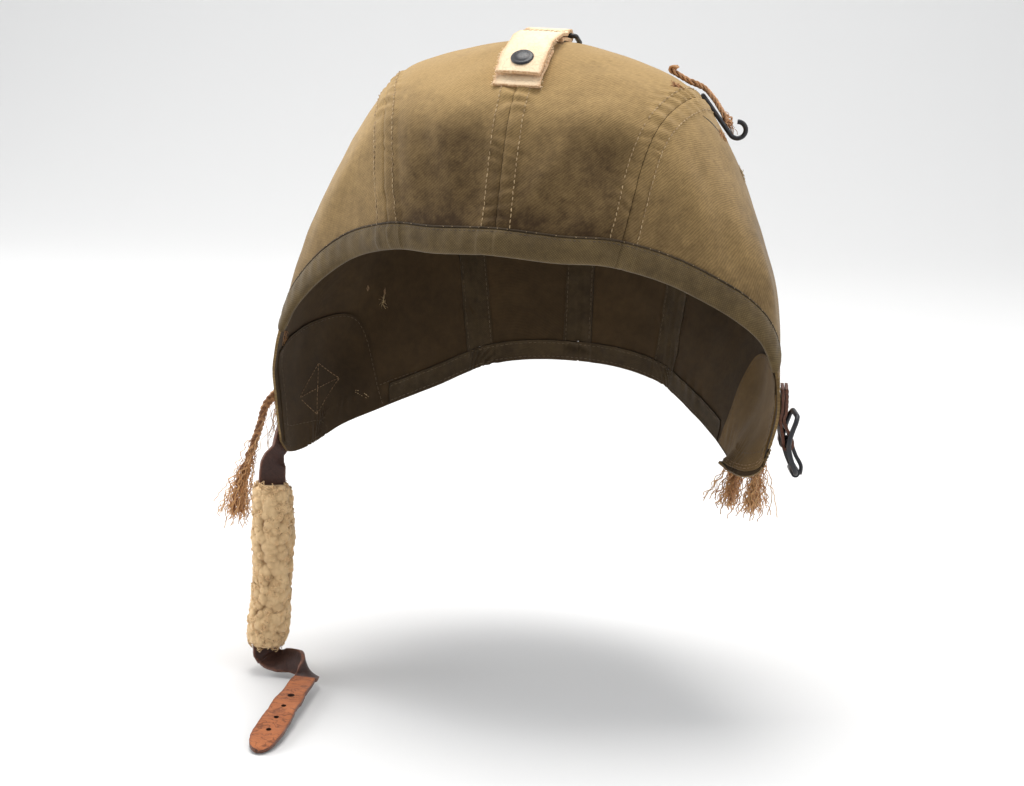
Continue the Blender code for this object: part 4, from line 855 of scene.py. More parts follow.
def sealed(piece, ends=False):
    """Merges doubled points, fills open ends if asked, and turns the faces outwards."""
    only(piece)
    bpy.ops.object.mode_set(mode="EDIT")
    bpy.ops.mesh.select_all(action="SELECT")
    bpy.ops.mesh.remove_doubles(threshold=1e-6)
    if ends:
        bpy.ops.mesh.select_all(action="DESELECT")
        bpy.ops.mesh.select_mode(type="EDGE")
        bpy.ops.mesh.select_non_manifold()
        bpy.ops.mesh.fill_holes(sides=0)
        bpy.ops.mesh.select_all(action="SELECT")
    bpy.ops.mesh.normals_make_consistent(inside=False)
    bpy.ops.object.mode_set(mode="OBJECT")


def ringed(name, rings, along):
    """A skin over rings of points: a laid grid whose long edges are merged and whose ends are filled."""
    rings = np.concatenate([rings, rings[:, :1]], axis=1)
    round_it = walked_along(rings[len(rings) // 2])
    piece = laid(name, rings, np.stack(np.meshgrid(round_it, along), -1))
    sealed(piece, ends=True)
    return piece


# %% The strip along the brow
BROW = np.linspace(-BINDING_END, BINDING_END, 420)
BROW_WALK = look(FROM_MIDDLE, BROW, 0)
binding_rings = np.stack([edge_place(BROW, d, h) for d, h in BINDING_SECTION], axis=1)
puff = 0.00022 * np.sin(BROW_WALK * 2 * math.pi / 0.0095 + 3 * slow_waves(surface(BROW, 0), 0.04))
lifted_part = np.array([0, 0, 0.4, 1, 1, 0.8, 0.5, 0.2, 0, 0, 0, 0, -0.5, -1, -0.6, 0, 0, 0])
binding_rings = binding_rings + outward(BROW, 0.1)[:, None, :] * (puff[:, None] * lifted_part)[..., None]
binding = ringed("brow_binding", binding_rings, BROW_WALK)
finished(binding, olive, "helmet", "face_binding", slot="olive_bias_tape")
print("binding", round(length_of(surface(BROW, 0)), 3), "m long")


# %% Its turned edge, dark with painted shadow, and the stitches through it
ROLL_DISTANCE, ROLL_RADIUS, ROLL_LIFT = 0.0126, 0.00045, 0.0004
roll_rings = [edge_place(BROW, ROLL_DISTANCE + 1.15 * ROLL_RADIUS * math.cos(t), ROLL_LIFT + ROLL_RADIUS * math.sin(t))
              for t in np.linspace(0, 2 * math.pi, 9)[:-1]]
roll = ringed("brow_binding_edge", np.stack(roll_rings, axis=1), BROW_WALK)
finished(roll, fold_shadow_tape, "helmet", slot="olive_bias_tape")
brow_row = (edge_place(BROW, ROLL_DISTANCE - 0.0019, 0.0011), outward(BROW, 0.2))
fine_row = (edge_place(BROW, ROLL_DISTANCE, ROLL_LIFT + ROLL_RADIUS), outward(BROW, 0.2))
inner_brow = (edge_place(BROW, 0.0072, -0.0036), -outward(BROW, 0.1))
sewn("brow_stitches", [brow_row, inner_brow], dark_thread, seed=5, pitch=0.0026, length=0.0018, width=0.0005)
sewn("brow_flecks", [fine_row], pale_thread, seed=6, pitch=0.0052, length=0.0007, width=0.0004, skip=0.35)


# %% [markdown]
# Inside, each seam is covered by a tape, the neck hem is faced by another, and both ear flaps have a
# second layer whose rear edge runs in an arc. They are flat strips laid on the cloth's inner face,
# so they follow its folds, and Solidify gives them their thickness towards the head.

# %% Strips on the inner face
def inner_strip(name, station, guide, thickness, material, node, slot="seam_tape"):
    """A strip sewn on the inside; arrays of stations and guides are (rows, columns)."""
    strip = laid_cloth(name, station, guide, inner_face(station, guide, 0.0001))
    face_outwards(strip, *(a[a.shape[0] // 2, a.shape[1] // 2] for a in (station, guide)))
    set_values(strip, "wear_and_shade", 0.18 + 0.08 * slow_waves(surface(station, guide), 0.04))
    thicken(strip, thickness)
    finished(strip, material, "helmet", node, slot=slot)


TAPE = 0.0008
TAPE_HALF = 0.0088
# The seam tapes and the neck hem tape inside are darkened with painted shade.
shaded_tape_cloth = tape_finish("seam_tape", (0.046, 0.028, 0.012, 1), (0.105, 0.068, 0.029, 1))
tape_rows = []
for name, seam in (("right_seam_tape", -SEAM), ("centre_seam_tape", 0), ("left_seam_tape", SEAM)):
    first, last = float(guide_from_face(seam, 0.0095)[0]), float(guide_from_hem(seam, 0.0135)[0])
    guides = np.linspace(first, last, 150)
    station = np.stack([across(seam, guides, x) for x in np.linspace(-TAPE_HALF, TAPE_HALF, 13)], axis=1)
    inner_strip(name + "_cloth", station, np.broadcast_to(guides[:, None], station.shape), TAPE, shaded_tape_cloth, name)
    for offset in (-SEAM_ROW, SEAM_ROW):
        tape_rows.append(inner_row(across(seam, guides, offset), guides, TAPE + 0.0002))


# %% The facings of the ear flaps and of the neck hem
FACING = 0.0010
FACING_TOP = 0.815 * TIP
FACING_FOOT = 0.64 * TIP


def facing_top(run, side):
    """The station of the facing's arc, from the face edge (run 0) to the hem (run 1)."""
    return side * (FACING_TOP + (FACING_FOOT - FACING_TOP) * np.asarray(run) ** 3)


LAYER = FACING + 0.0002
facing_rows = []
for name, side in (("right_flap_facing", -1), ("left_flap_facing", 1)):
    run = np.linspace(0, 1, 70)
    top = facing_top(run, 1)
    station = side * (top + (TIP - 0.05 - top) * np.linspace(0, 1, 50)[:, None])
    near = np.stack([guide_from_face(s, 0.0032) for s in station[:, 0]])
    far = np.stack([guide_from_hem(s, 0.0020) for s in station[:, -1]])
    guide = near + (far - near) * run
    facing_rows.append(inner_row(station[0] + side * 0.0018 / pace(station[0], guide[0]), guide[0], LAYER))
    if side < 0:
        station, guide = station[::-1], guide[::-1]
    # The right facing takes the twill darkened with painted shade, the left one the copy paled with painted light.
    cloth = khaki_shaded_inside if side < 0 else khaki_lit_facing
    inner_strip(name + "_cloth", station, guide, FACING, cloth, name, slot="khaki_twill")
    down = side * (FACING_TOP + (TIP - 0.15 - FACING_TOP) * EVEN)
    facing_rows.append(inner_row(down, guide_from_face(down, 0.0068), LAYER))
    facing_rows.append(inner_row(side * (TIP - 0.24), 0.25 + (HEM - 0.5) * EVEN, LAYER))
HEM_END = FACING_FOOT - 0.1
station, distance = np.meshgrid(np.linspace(-HEM_END, HEM_END, 420), np.linspace(0.0009, 0.0130, 9), indexing="ij")
guide = np.stack([guide_from_hem(station[:, 0], d) for d in distance[0]], axis=1)
inner_strip("neck_hem_cloth", station, guide, TAPE, shaded_tape_cloth, "neck_hem_tape")
along = np.linspace(-HEM_END, HEM_END, 600)
facing_rows += [inner_row(along, guide_from_hem(along, inset), TAPE + 0.0002) for inset in (0.0112, 0.0024)]
# The rows inside use the same thread darkened with painted shade.
shaded_inner_thread = yarn_finish("inner_thread_painted_shade", (0.07, 0.045, 0.022, 1), (0.17, 0.115, 0.06, 1))
sewn("inner_stitches", tape_rows + facing_rows, shaded_inner_thread, seed=7, width=0.0004)


# %% [markdown]
# The chin strap is sewn on outside the right flap, and its boxed cross of stitches shows inside.
# Above it, the photographed flap has a short slit with pale, frayed lips and a sewn ridge that runs
# on from it, and there are two bar tacks.

# %% Places on the flaps
def flap_at(side, y, z):
    """The (station, guide) place on a flap (side 1 left, -1 right) whose point has this Y and Z."""
    station, guide = side * 5.0, 1.0
    for _ in range(12):
        point = surface(station, guide)
        slope_s, slope_g = surface_slopes(station, guide)
        det = slope_s[1] * slope_g[2] - slope_s[2] * slope_g[1]
        off_y, off_z = y - point[1], z - point[2]
        station += (off_y * slope_g[2] - off_z * slope_g[1]) / det
        guide += (slope_s[1] * off_z - slope_s[2] * off_y) / det
        station = side * min(max(side * station, SEAM), TIP)
        guide = min(max(guide, 0), HEM)
    return station, guide


def on_flap(side, y, z, lift):
    """The point over a flap whose place in the cloth has this Y and Z."""
    return over(*flap_at(side, y, z), lift)


# %% The boxed cross, the slit and the bar tacks
box_thread = yarn_finish("box_thread", (0.16, 0.09, 0.04, 1), (0.36, 0.22, 0.11, 1))
BOX_CORNERS = np.array(((0.000, -0.1960), (0.0125, -0.2075), (-0.0130, -0.2245), (-0.0235, -0.2125)))
box_rows = []
for a, b in ((0, 1), (1, 2), (2, 3), (3, 0), (0, 2), (1, 3)):
    places = [flap_at(-1, *(BOX_CORNERS[a] * (1 - r) + BOX_CORNERS[b] * r)) for r in np.linspace(0, 1, 30)]
    box_rows.append(inner_row(*np.array(places).T, LAYER))
sewn("anchor_box_stitches", box_rows, box_thread, seed=8, pitch=0.0026, length=0.0021, width=0.0005, skip=0)
tack_rows = [inner_row(station + k * 0.006 + np.zeros(8), guide + np.linspace(-0.025, 0.025, 8), 0.0004)
             for station, guide in ((-3.85, 3.2), (-4.15, 2.9), (4.0, 3.0)) for k in range(-3, 4)]
sewn("bar_tacks", tack_rows, box_thread, seed=9, pitch=0.0012, length=0.0016, width=0.0004, skip=0.2)
slit_run = np.linspace(0, 1, 60)
slit_station, slit_guide = -4.62 + 0.42 * slit_run, 3.72 + 0.16 * slit_run
lip_width = np.sin(math.pi * np.clip(slit_run, 0.02, 0.98)) ** 0.4 / pace(slit_station, slit_guide, 1)
lip_rows = [inner_row(slit_station, slit_guide + off * lip_width, high)
            for off, high in ((-0.0011, 0.0008), (0.0011, 0.0008), (-0.0004, 0.0004), (0.0004, 0.0004))]
sewn("slit_lips", lip_rows, pale_thread, seed=10, pitch=0.0016, length=0.0019, width=0.0009, skip=0)
ridge = inner_row(-4.45 + 1.25 * slit_run, 3.79 + 0.09 * slit_run, 0.0006)
sewn("slit_ridge", [ridge], shaded_inner_thread, seed=11, pitch=0.0028, width=0.0005)


# %% [markdown]
# Yarns, wool curls and loose threads are thin tubes with three or four sides. Thousands are needed,
# so one helper lofts many short paths at once into one closed mesh.

# %% Many thin tubes
def tubes(name, paths, radii, sides=4, shades=None, seed=0, guide=None):
    """Closed thin tubes along paths of shape (n, k, 3), with a radius for each path or each point."""
    rng = np.random.default_rng(seed)
    paths = np.asarray(paths, float)
    n, k = paths.shape[:2]
    radii = np.broadcast_to(radii, (n, k))[..., None, None]
    way = unit(np.gradient(paths, axis=1))
    guide = unit(rng.normal(size=(n, 1, 3))) if guide is None else guide
    first = unit(np.cross(way, guide + 1e-6))
    second = np.cross(way, first)
    turn = np.arange(sides) * 2 * math.pi / sides
    spokes = first[:, :, None] * np.cos(turn)[:, None] + second[:, :, None] * np.sin(turn)[:, None]
    rings = paths[:, :, None] + radii * spokes
    points = rings.reshape(n, k * sides, 3)
    faces = [(a * sides + b, a * sides + (b + 1) % sides, (a + 1) * sides + (b + 1) % sides, (a + 1) * sides + b)
             for a in range(k - 1) for b in range(sides)]
    faces += [tuple(range(sides))[::-1], tuple((k - 1) * sides + b for b in range(sides))]
    return many(name, points, faces, rng.uniform(0, 1, n) if shades is None else shades)


def frayed(roots, ways, lengths, rng, steps=9, crimp=0.0005, period=0.004, droop=0.35, spread=0.25):
    """Paths for loose threads: each leaves its root, keeps the zigzag of the weave, and droops a little."""
    n = len(roots)
    run = np.linspace(0, 1, steps)[None, :, None]
    ways = unit(ways + rng.normal(0, spread, (n, 3)))
    lengths = np.asarray(lengths)[:, None, None]
    side = unit(np.cross(ways, rng.normal(size=(n, 3))))[:, None, :]
    other = np.cross(ways[:, None, :], side)
    phase = rng.uniform(0, 2 * math.pi, (n, 1, 1))
    wave = np.sin(phase + run * lengths * 2 * math.pi / period) - np.sin(phase)
    drift = np.cumsum(rng.normal(0, 0.13 / math.sqrt(steps), (n, steps, 1)), axis=1) * lengths
    path = roots[:, None, :] + ways[:, None, :] * run * lengths
    path = path + side * (wave * crimp + drift * 0.5) + other * drift * 0.5
    path[..., 2] -= (droop * run * run * lengths)[..., 0]
    return path


def loose_threads(name, roots, ways, lengths, rng, radius, material, seed, body="helmet", **habit):
    """Frayed threads as one finished piece."""
    return finished(tubes(name, frayed(roots, ways, lengths, rng, **habit), radius, 3, seed=seed), material, body)


# %% [markdown]
# The flat braid is plaited from three strands of four yarns. Along the braid, a strand swings from
# edge to edge once a pitch and passes over and under at twice that rate, which is a plait's own
# rule. Where the plait has come undone, its yarns fan out and keep their crimp.

# %% A plait along a path
YARNS = 4


def plait(path, sides, width, thick, pitch, open_from, open_width, rng):
    """Yarn paths, a guide direction for their rings, and the yarn's radius, for a plait of three strands."""
    way = ahead_of(path)
    sides = squared(sides, way)
    up = np.cross(sides, way)
    walked = walked_along(path)
    radius = width / (3.6 * YARNS)
    swing = width / 2 - radius * YARNS
    opened = ease(walked / walked[-1], open_from, 1.0)[:, None]
    lines = []
    for strand in range(3):
        angle = 2 * math.pi * walked[:, None] / pitch + strand * 2 * math.pi / 3
        heading = unit(way - sides * np.sin(angle) * 2 * math.pi * swing / pitch)
        lateral = np.cross(up, heading)
        for k in range(YARNS):
            off = (k - (YARNS - 1) / 2) * radius * 1.75
            line = path + sides * np.cos(angle) * swing + up * np.sin(2 * angle) * thick * 0.22 + lateral * off
            aim = ((strand * YARNS + k) / (3 * YARNS - 1) - 0.5) * open_width
            line = line + sides * opened * (aim + rng.normal(0, 0.0007)) * 0.8
            lines.append(line + up * opened * rng.normal(0, 0.0011))
    return np.array(lines), np.array([up] * len(lines)), radius


braid_yarn = yarn_finish("braided_cord", (0.22, 0.095, 0.04, 1), (0.68, 0.38, 0.18, 1), 0.7)
fray_yarn = yarn_finish("frayed_cord", (0.35, 0.155, 0.055, 1), (0.76, 0.455, 0.205, 1), 0.75)


# %% [markdown]
# Three loose ends of this braid hang from the flaps. They are cords: each is sewn down where it
# starts, hangs limp, and ends in its own fray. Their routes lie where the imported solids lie.

# %% The three loose braids
BRAID_WIDTH, BRAID_THICK, BRAID_PITCH = 0.0080, 0.0026, 0.0095
BRAIDS = {
    "right_braid": (-1, [(-0.104, -0.7355), (-0.177, -0.7727), (-0.25, -0.8058), (-0.302, -0.8388)],
                    [(0.117, -0.045, -0.155), (0.173, -0.033, -0.316), (0.242, -0.033, -0.528),
                     (0.31, -0.033, -0.739), (0.347, -0.033, -1.0)], 0.0804, 0.52),
    "left_braid_front": (1, [(-0.135, -0.7769), (-0.135, -0.814), (-0.135, -0.8512)],
                         [(-0.007, -0.045, -0.258), (-0.02, -0.045, -0.58), (-0.044, -0.07, -1.0)], 0.0404, 0.30),
    "left_braid_rear": (1, [(0.042, -0.7934), (0.042, -0.8347), (0.031, -0.8719)],
                        [(-0.111, -0.066, -0.279), (-0.178, -0.092, -0.599), (-0.231, -0.119, -1.0)], 0.0375, 0.30)}
BRAID_LIFT = CLOTH / 2 + 0.0010 + BRAID_THICK / 2
for number, (name, (side, sewn_shares, free_shares, hang, open_from)) in enumerate(BRAIDS.items()):
    rng = np.random.default_rng(40 + number)
    sewn_part = [on_flap(side, y * REACH, z * DROP, BRAID_LIFT) for y, z in sewn_shares]
    route = np.array(sewn_part + [sewn_part[-1] + np.array((side * x, y, z)) * hang for x, y, z in free_shares])
    line = even_path(route, 150)
    flat = np.cross(ahead_of(line), outward(side * 5.3, 1.5))
    lines, guides, radius = plait(line, flat, BRAID_WIDTH, BRAID_THICK, BRAID_PITCH, open_from, 0.010, rng)
    cord = tubes(name + "_cord", lines, radius, 5, seed=number, guide=guides)
    finished(cord, braid_yarn, "helmet", name, slot="braided_cord")
    count, last = 90, len(line) - 1
    start = (open_from + (0.96 - open_from) * rng.random(count) ** 0.8) * last
    roots = picked(start, np.arange(last + 1), line) + rng.normal(0, 0.0016, (count, 3)) * (1, 1, 0.3)
    ways = picked(start, np.arange(last + 1), ahead_of(line))
    left = length_of(line) * (1 - start / last) + rng.uniform(-0.003, 0.005, count)
    loose = [loose_threads(name + "_fray", roots, ways, left, rng, 0.00028, fray_yarn, 50 + number, steps=26,
                           crimp=0.0011, period=0.0070, spread=0.15, droop=0.1)]
    if name == "right_braid":
        count = 22
        roots = line[rng.integers(4, 40, count)] + rng.normal(0, 0.0012, (count, 3))
        ways = np.tile((-0.10, -0.34, -1.0), (count, 1))
        loose.append(loose_threads("stray_threads", roots, ways, rng.uniform(0.018, 0.044, count), rng, 0.00020,
                                   fray_yarn, 57, steps=22, crimp=0.0009, period=0.0070, spread=0.14))
    length_of(line)
    print(name, round(length_of(line), 4), "m")


# %% [markdown]
# Leather is made as one flat strip that follows a path: a grid primitive is laid along it, Solidify
# gives the thickness, and Bevel breaks the cut edges. Small sideways and upward wobbles keep the
# strip from looking machined.

# %% A leather finish
def leather_finish(name, dark, light, edge, roughness, grain, crack, sheen=0.05, stretch=(1, 1, 1)):
    """Leather: mottled dye, fine pores, a few creases, and edges that are worn to another colour."""
    material, tree, place = new_finish(name)
    mottle = noise_at(tree, place, 60.0, 5.0, 0.65)
    fine = noise_at(tree, place, grain * 2.2, 4.0, 0.7)
    pores = add(tree, "TexVoronoi", {"feature": "F1"}, Vector=place, Scale=grain * 2).outputs["Distance"]
    bent = mixed(tree, 0.02, place, add(tree, "TexNoise", Vector=place, Scale=90.0, Detail=3.0).outputs["Color"])
    pulled = add(tree, "Mapping", Vector=bent, Scale=stretch).outputs["Vector"]
    crease = add(tree, "TexVoronoi", {"feature": "DISTANCE_TO_EDGE"}, Vector=pulled, Scale=grain * 0.55)
    lines = spread(tree, crease.outputs["Distance"], 0.0, 0.09, 1.0, 0.0)
    base = mixed(tree, spread(tree, weighed(tree, (mottle, 0.65), (fine, 0.35)), 0.32, 0.68), dark, light)
    base = mixed(tree, product(tree, lines, 0.25 + crack), base, (dark[0] * 0.45, dark[1] * 0.42, dark[2] * 0.4, 1))
    rubbed = product(tree, attribute(tree, "wear_and_shade"), spread(tree, fine, 0.3, 0.6))
    height = weighed(tree, (pores, 0.5), (lines, -0.5 - crack))
    close_finish(tree, mixed(tree, rubbed, base, edge), roughness, height, 0.35, 0.0003, Sheen_Weight=sheen,
                 Specular_IOR_Level=0.4)
    return material


cream_leather = leather_finish("natural_leather", (0.84, 0.61, 0.38, 1), (0.97, 0.80, 0.56, 1), (0.58, 0.33, 0.16, 1),
                               0.72, 330, 0.0, 0.12)
brown_leather = leather_finish("dark_leather", (0.026, 0.010, 0.007, 1), (0.075, 0.028, 0.018, 1),
                               (0.17, 0.06, 0.03, 1), 0.5, 420, 0.1)
tan_leather = leather_finish("tan_leather", (0.29, 0.080, 0.022, 1), (0.50, 0.165, 0.052, 1), (0.20, 0.055, 0.02, 1),
                             0.78, 520, 0.60, 0.10, (0.10, 1.0, 0.5))


# %% Strips of leather
def strip_points(centres, sides, widths, columns=13, cup=0.0, rough=0.0002, seed=1):
    """The points of a strip along a path, a little uneven at its two cut edges, and its wear."""
    rng = np.random.default_rng(seed)
    rows = len(centres)
    way = ahead_of(centres)
    sides = squared(np.broadcast_to(sides, (rows, 3)), way)
    up = np.cross(sides, way)
    share = np.linspace(-0.5, 0.5, columns)
    uneven = [np.convolve(rng.normal(0, 1, rows + 8), np.ones(9) / 3, "valid")[:, None] * rough for _ in range(2)]
    width = np.broadcast_to(widths, (rows,))[:, None] + np.where(share < 0, *uneven) * 2
    bow = cup * (1 - (2 * share) ** 2)
    points = centres[:, None] + sides[:, None] * (share * width)[..., None] + up[:, None] * bow[:, None]
    wear_and_shade = np.broadcast_to(ease(np.abs(2 * share), 0.80, 1.0), (rows, columns)).copy()
    wear_and_shade[[0, -1]] = 1
    return points, wear_and_shade


def leather(name, strip, thickness, bevel=0.0003, backed=False, cut_out=None):
    """Solid leather from a strip's points and wear, with its cut edges broken; backed gives it a second finish.

    cut_out is true for the places where the leather is cut away before it gets its thickness.
    """
    piece = laid(name, strip[0])
    set_values(piece, "wear_and_shade", strip[1])
    if cut_out:
        for face in piece.data.polygons:
            face.select = bool(cut_out(face.center))
        bpy.ops.object.mode_set(mode="EDIT")
        bpy.ops.mesh.select_mode(type="FACE")
        bpy.ops.mesh.delete(type="FACE")
    thicken(piece, thickness, 0.0, backed)
    bpy.ops.object.mode_set(mode="EDIT")
    bpy.ops.mesh.select_all(action="SELECT")
    bpy.ops.mesh.normals_make_consistent(inside=False)
    bpy.ops.object.mode_set(mode="OBJECT")
    applied(piece, "BEVEL", width=bevel, segments=2, limit_method="ANGLE", angle_limit=math.radians(50))
    return piece


# %% [markdown]
# On the crown lies a short strap of undyed leather. Its front end snaps onto a base tab, and its
# rear end folds over a wire ring and is sewn down. The free part lifts off the tab, and the fold
# round the ring is made as a piece of its own.

# %% The crown strap and its base tab
CROWN_LEATHER = 0.0020
STRAP_WIDTH_TOP = 0.0250
TAB_LIFT = CLOTH / 2 + GAP + CROWN_LEATHER / 2
FRONT_GUIDE, SNAP_GUIDE, END_GUIDE, HEEL_GUIDE = 0.285 * HEM, 0.3375 * HEM, 0.305 * HEM, 0.478 * HEM
TAB_PACE, HEEL_PACE = pace(0, FRONT_GUIDE, 1), pace(0, HEEL_GUIDE, 1)
ACROSS = (1.0, 0, 0)

tab_line = over(0, np.linspace(FRONT_GUIDE, FRONT_GUIDE + 0.030 / TAB_PACE, 26), TAB_LIFT + 0.0003)
tab_strip = strip_points(tab_line, ACROSS, STRAP_WIDTH_TOP + 0.0008, 21, -0.0003, 0.0003, 11)
tab = leather("base_tab_leather", tab_strip, CROWN_LEATHER - 0.0003)
finished(tab, cream_leather, "helmet", "crown_base_tab", slot="natural_leather")


# %% The free part of the strap
LOW = CLOTH / 2 + GAP + CROWN_LEATHER + GAP + CROWN_LEATHER / 2
WORN_HIGH = TAB_LIFT + CROWN_LEATHER + 0.0021   # the photographed strap has sagged on to its snap
RING_WIRE = 0.0026
FOLD = RING_WIRE / 2 + GAP + CROWN_LEATHER / 2
UNDER = CLOTH / 2 + GAP + CROWN_LEATHER / 2
BAR_LIFT = UNDER + FOLD
BAR_OFFSET = 3 * FOLD
guides = np.linspace(END_GUIDE, HEEL_GUIDE, 46)
run = np.minimum((HEEL_GUIDE - guides) / (HEEL_GUIDE - SNAP_GUIDE), 1)
lifts = LOW + (WORN_HIGH - LOW) * np.sin(run * math.pi / 2) - 0.0008 * ease(-guides, -END_GUIDE - 0.12, -END_GUIDE)
meeting = (BAR_OFFSET / 3, (LOW + BAR_LIFT + FOLD) / 2)      # where the strap goes over into its heel
behind = np.array([(0.0012, LOW + 0.0003), meeting])
strap_line = np.concatenate([over(0, guides, lifts), over(0, HEEL_GUIDE + behind[:, 0] / HEEL_PACE, behind[:, 1])])
strap_line = even_path(strap_line, 60)
top_strip = strip_points(strap_line, ACROSS, STRAP_WIDTH_TOP, 21, 0.0005, 0.00035, 12)
crown_strap = leather("crown_strap_leather", top_strip, CROWN_LEATHER)
finished(crown_strap, cream_leather, None, "crown_strap", slot="natural_leather")
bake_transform(crown_strap)


# %% The heel round the ring
heel = [meeting, (BAR_OFFSET, BAR_LIFT + FOLD)]
heel += [(BAR_OFFSET + FOLD * math.cos(t), BAR_LIFT + FOLD * math.sin(t))
         for t in np.linspace(math.pi / 2, -math.pi / 2, 9)[1:]]
heel = np.array(heel + [(-BAR_OFFSET / 2, UNDER), (-BAR_OFFSET * 1.4, UNDER)])
heel_line = even_path(over(0, HEEL_GUIDE + heel[:, 0] / HEEL_PACE, heel[:, 1]), 50)
heel_strip = strip_points(heel_line, ACROSS, STRAP_WIDTH_TOP, 21, 0.0, 0.0003, 12)
heel_leather = leather("crown_strap_fold_leather", heel_strip, CROWN_LEATHER)
finished(heel_leather, cream_leather, "helmet", "crown_strap_heel", slot="natural_leather")
print("crown strap", round(length_of(strap_line) + length_of(heel_line), 3), "m of leather")


# %% Its stitches and its frayed edges
def strap_row(points, share_from, share_to, lift, row=None, column=None, count=40, out=(0, 0, 1)):
    """A row of stitches over a strip's points, along a row or down a column, on the side that faces out."""
    if column is None:
        points, column = points.transpose(1, 0, 2), row
    rows, columns = points.shape[:2]
    at = np.linspace(share_from, share_to, count) * (rows - 1)
    low = np.minimum(at.astype(int), rows - 2)
    part = (at - low)[:, None]
    line = points[low, column] * (1 - part) + points[low + 1, column] * part
    beside = points[low, min(column + 1, columns - 1)] - points[low, column - 1]
    normal = unit(np.cross(beside, points[low + 1, column] - points[low, column]))
    normal = normal * np.where(normal @ np.array(out) < 0, -1, 1)[:, None]
    return line + normal * lift, normal


half_leather = CROWN_LEATHER / 2 + 0.0001
top_points, tab_points = top_strip[0], tab_strip[0]
strap_rows = [strap_row(top_points, 0.08, 0.92, half_leather, row=r) for r in (47, 53)]
strap_rows += [strap_row(top_points, 0.80, 0.995, half_leather, column=c) for c in (2, 18)]
sewn("crown_strap_stitches", strap_rows, pale_thread, seed=13, pitch=0.0029)
rng = np.random.default_rng(14)
edges = {"crown_strap": [], "helmet": []}
for body, points, rows_used, column, way in (("crown_strap", top_points, range(6, 34), -1, (1, 0, 0)),
                                             ("crown_strap", top_points, range(2, 20), 0, (-1, 0, 0)),
                                             ("helmet", tab_points, range(0, 9), 0, (-1, -0.4, 0)),
                                             ("helmet", tab_points, range(0, 7), -1, (1, -0.5, 0))):
    edges[body] += [(points[r, column] + rng.normal(0, 0.0003, 3), way) for r in rows_used for _ in range(3)]
for name, body in (("crown_strap_fray", "crown_strap"), ("base_tab_fray", "helmet")):
    roots, ways = (np.array(part, float) for part in zip(*edges[body]))
    loose_threads(name, roots, ways, rng.uniform(0.0004, 0.0018, len(roots)), rng, 0.00010, cream_leather, 15, body,
                  steps=5, crimp=0.0001, droop=0.2, spread=0.5)


# %% [markdown]
# The snap fastener is enamelled steel. Each part is spun from a profile. The cap has a rolled rim, a
# shallow dome and a small dimple. Socket and stud sit below it.

# %% The enamel of the metal parts
def enamel_finish(name, paint, steel):
    """Old black enamel, chipped to dull steel and a little rust."""
    material, tree, place = new_finish(name)
    fine = noise_at(tree, place, 1500.0, 4.0, 0.7)
    level = weighed(tree, (noise_at(tree, place, 240.0, 6.0, 0.7), 0.7), (fine, 0.3))
    chip = spread(tree, level, 0.62, 0.655)
    rust = spread(tree, level, 0.53, 0.62)
    tinted = mixed(tree, product(tree, rust, 0.5), paint, (0.055, 0.028, 0.016, 1))
    rough = spread(tree, fine, 0.2, 0.8, 0.28, 0.58)
    close_finish(tree, mixed(tree, chip, tinted, steel), rough, level, 0.25, 0.0002, Metallic=chip)
    return material


enamel = enamel_finish("black_enamel", (0.014, 0.015, 0.02, 1), (0.20, 0.19, 0.18, 1))


def enamelled(piece, body, node, smooth_angle=50):
    """A metal part with its enamel, on its body."""
    finished(piece, enamel, body, node, smooth_angle=smooth_angle, slot="black_enamel")


# %% The snap fastener
def placed_frame(origin, x_way, z_way):
    """A matrix with its X along x_way and its Z near z_way."""
    x = Vector(x_way).normalized()
    z = (Vector(z_way) - x * Vector(z_way).dot(x)).normalized()
    y = z.cross(x)
    return Matrix(((x.x, y.x, z.x, origin[0]), (x.y, y.y, z.y, origin[1]), (x.z, y.z, z.z, origin[2]), (0, 0, 0, 1)))


def spun(name, profile, place, steps=48):
    """A round part: its half profile (radius, height) is drawn, and spun once round in edit mode."""
    mesh = bpy.data.meshes.new(name)
    mesh.from_pydata([(r, 0, h) for r, h in profile], [(k, k + 1) for k in range(len(profile) - 1)], [])
    piece = linked(name, mesh)
    only(piece)
    bpy.ops.object.mode_set(mode="EDIT")
    bpy.ops.mesh.select_all(action="SELECT")
    bpy.ops.mesh.spin(steps=steps, angle=2 * math.pi, center=(0, 0, 0), axis=(0, 0, 1))
    sealed(piece)
    piece.data.transform(place)
    return piece


snap_place = placed_frame(surface(0.0, SNAP_GUIDE), ACROSS, outward(0.0, SNAP_GUIDE))
# A part's name, the lift its profile starts from, its body, its solid and the profile.
for name, base, body, node, profile in (
        ("snap_cap_dome", WORN_HIGH + CROWN_LEATHER / 2 - 0.0001, "crown_strap", "snap_cap",
         [(0.0, -0.0012), (0.0018, -0.0012), (0.0018, 0), (0.0058, 0), (0.0062, 0.0003), (0.00625, 0.0007),
          (0.0060, 0.0011), (0.0054, 0.00135), (0.0047, 0.0014), (0.0042, 0.0016), (0.0034, 0.0019),
          (0.0024, 0.0021), (0.0012, 0.00218), (0.0, 0.0022)]),
        ("snap_socket_ring", WORN_HIGH - CROWN_LEATHER / 2, "crown_strap", "snap_socket",
         [(0.0025, -0.0011), (0.0048, -0.0011), (0.0052, -0.0008), (0.0052, -0.0001), (0.0025, -0.0001),
          (0.0025, -0.0011)]),
        ("snap_stud_post", TAB_LIFT + CROWN_LEATHER / 2 - 0.0001, "helmet", "snap_stud",
         [(0.0, 0), (0.0046, 0), (0.0046, 0.0004), (0.0018, 0.0006), (0.0016, 0.0012), (0.0019, 0.0016),
          (0.0014, 0.0019), (0.0, 0.0020)])):
    enamelled(spun(name, [(r, base + h) for r, h in profile], snap_place), body, node, 40)


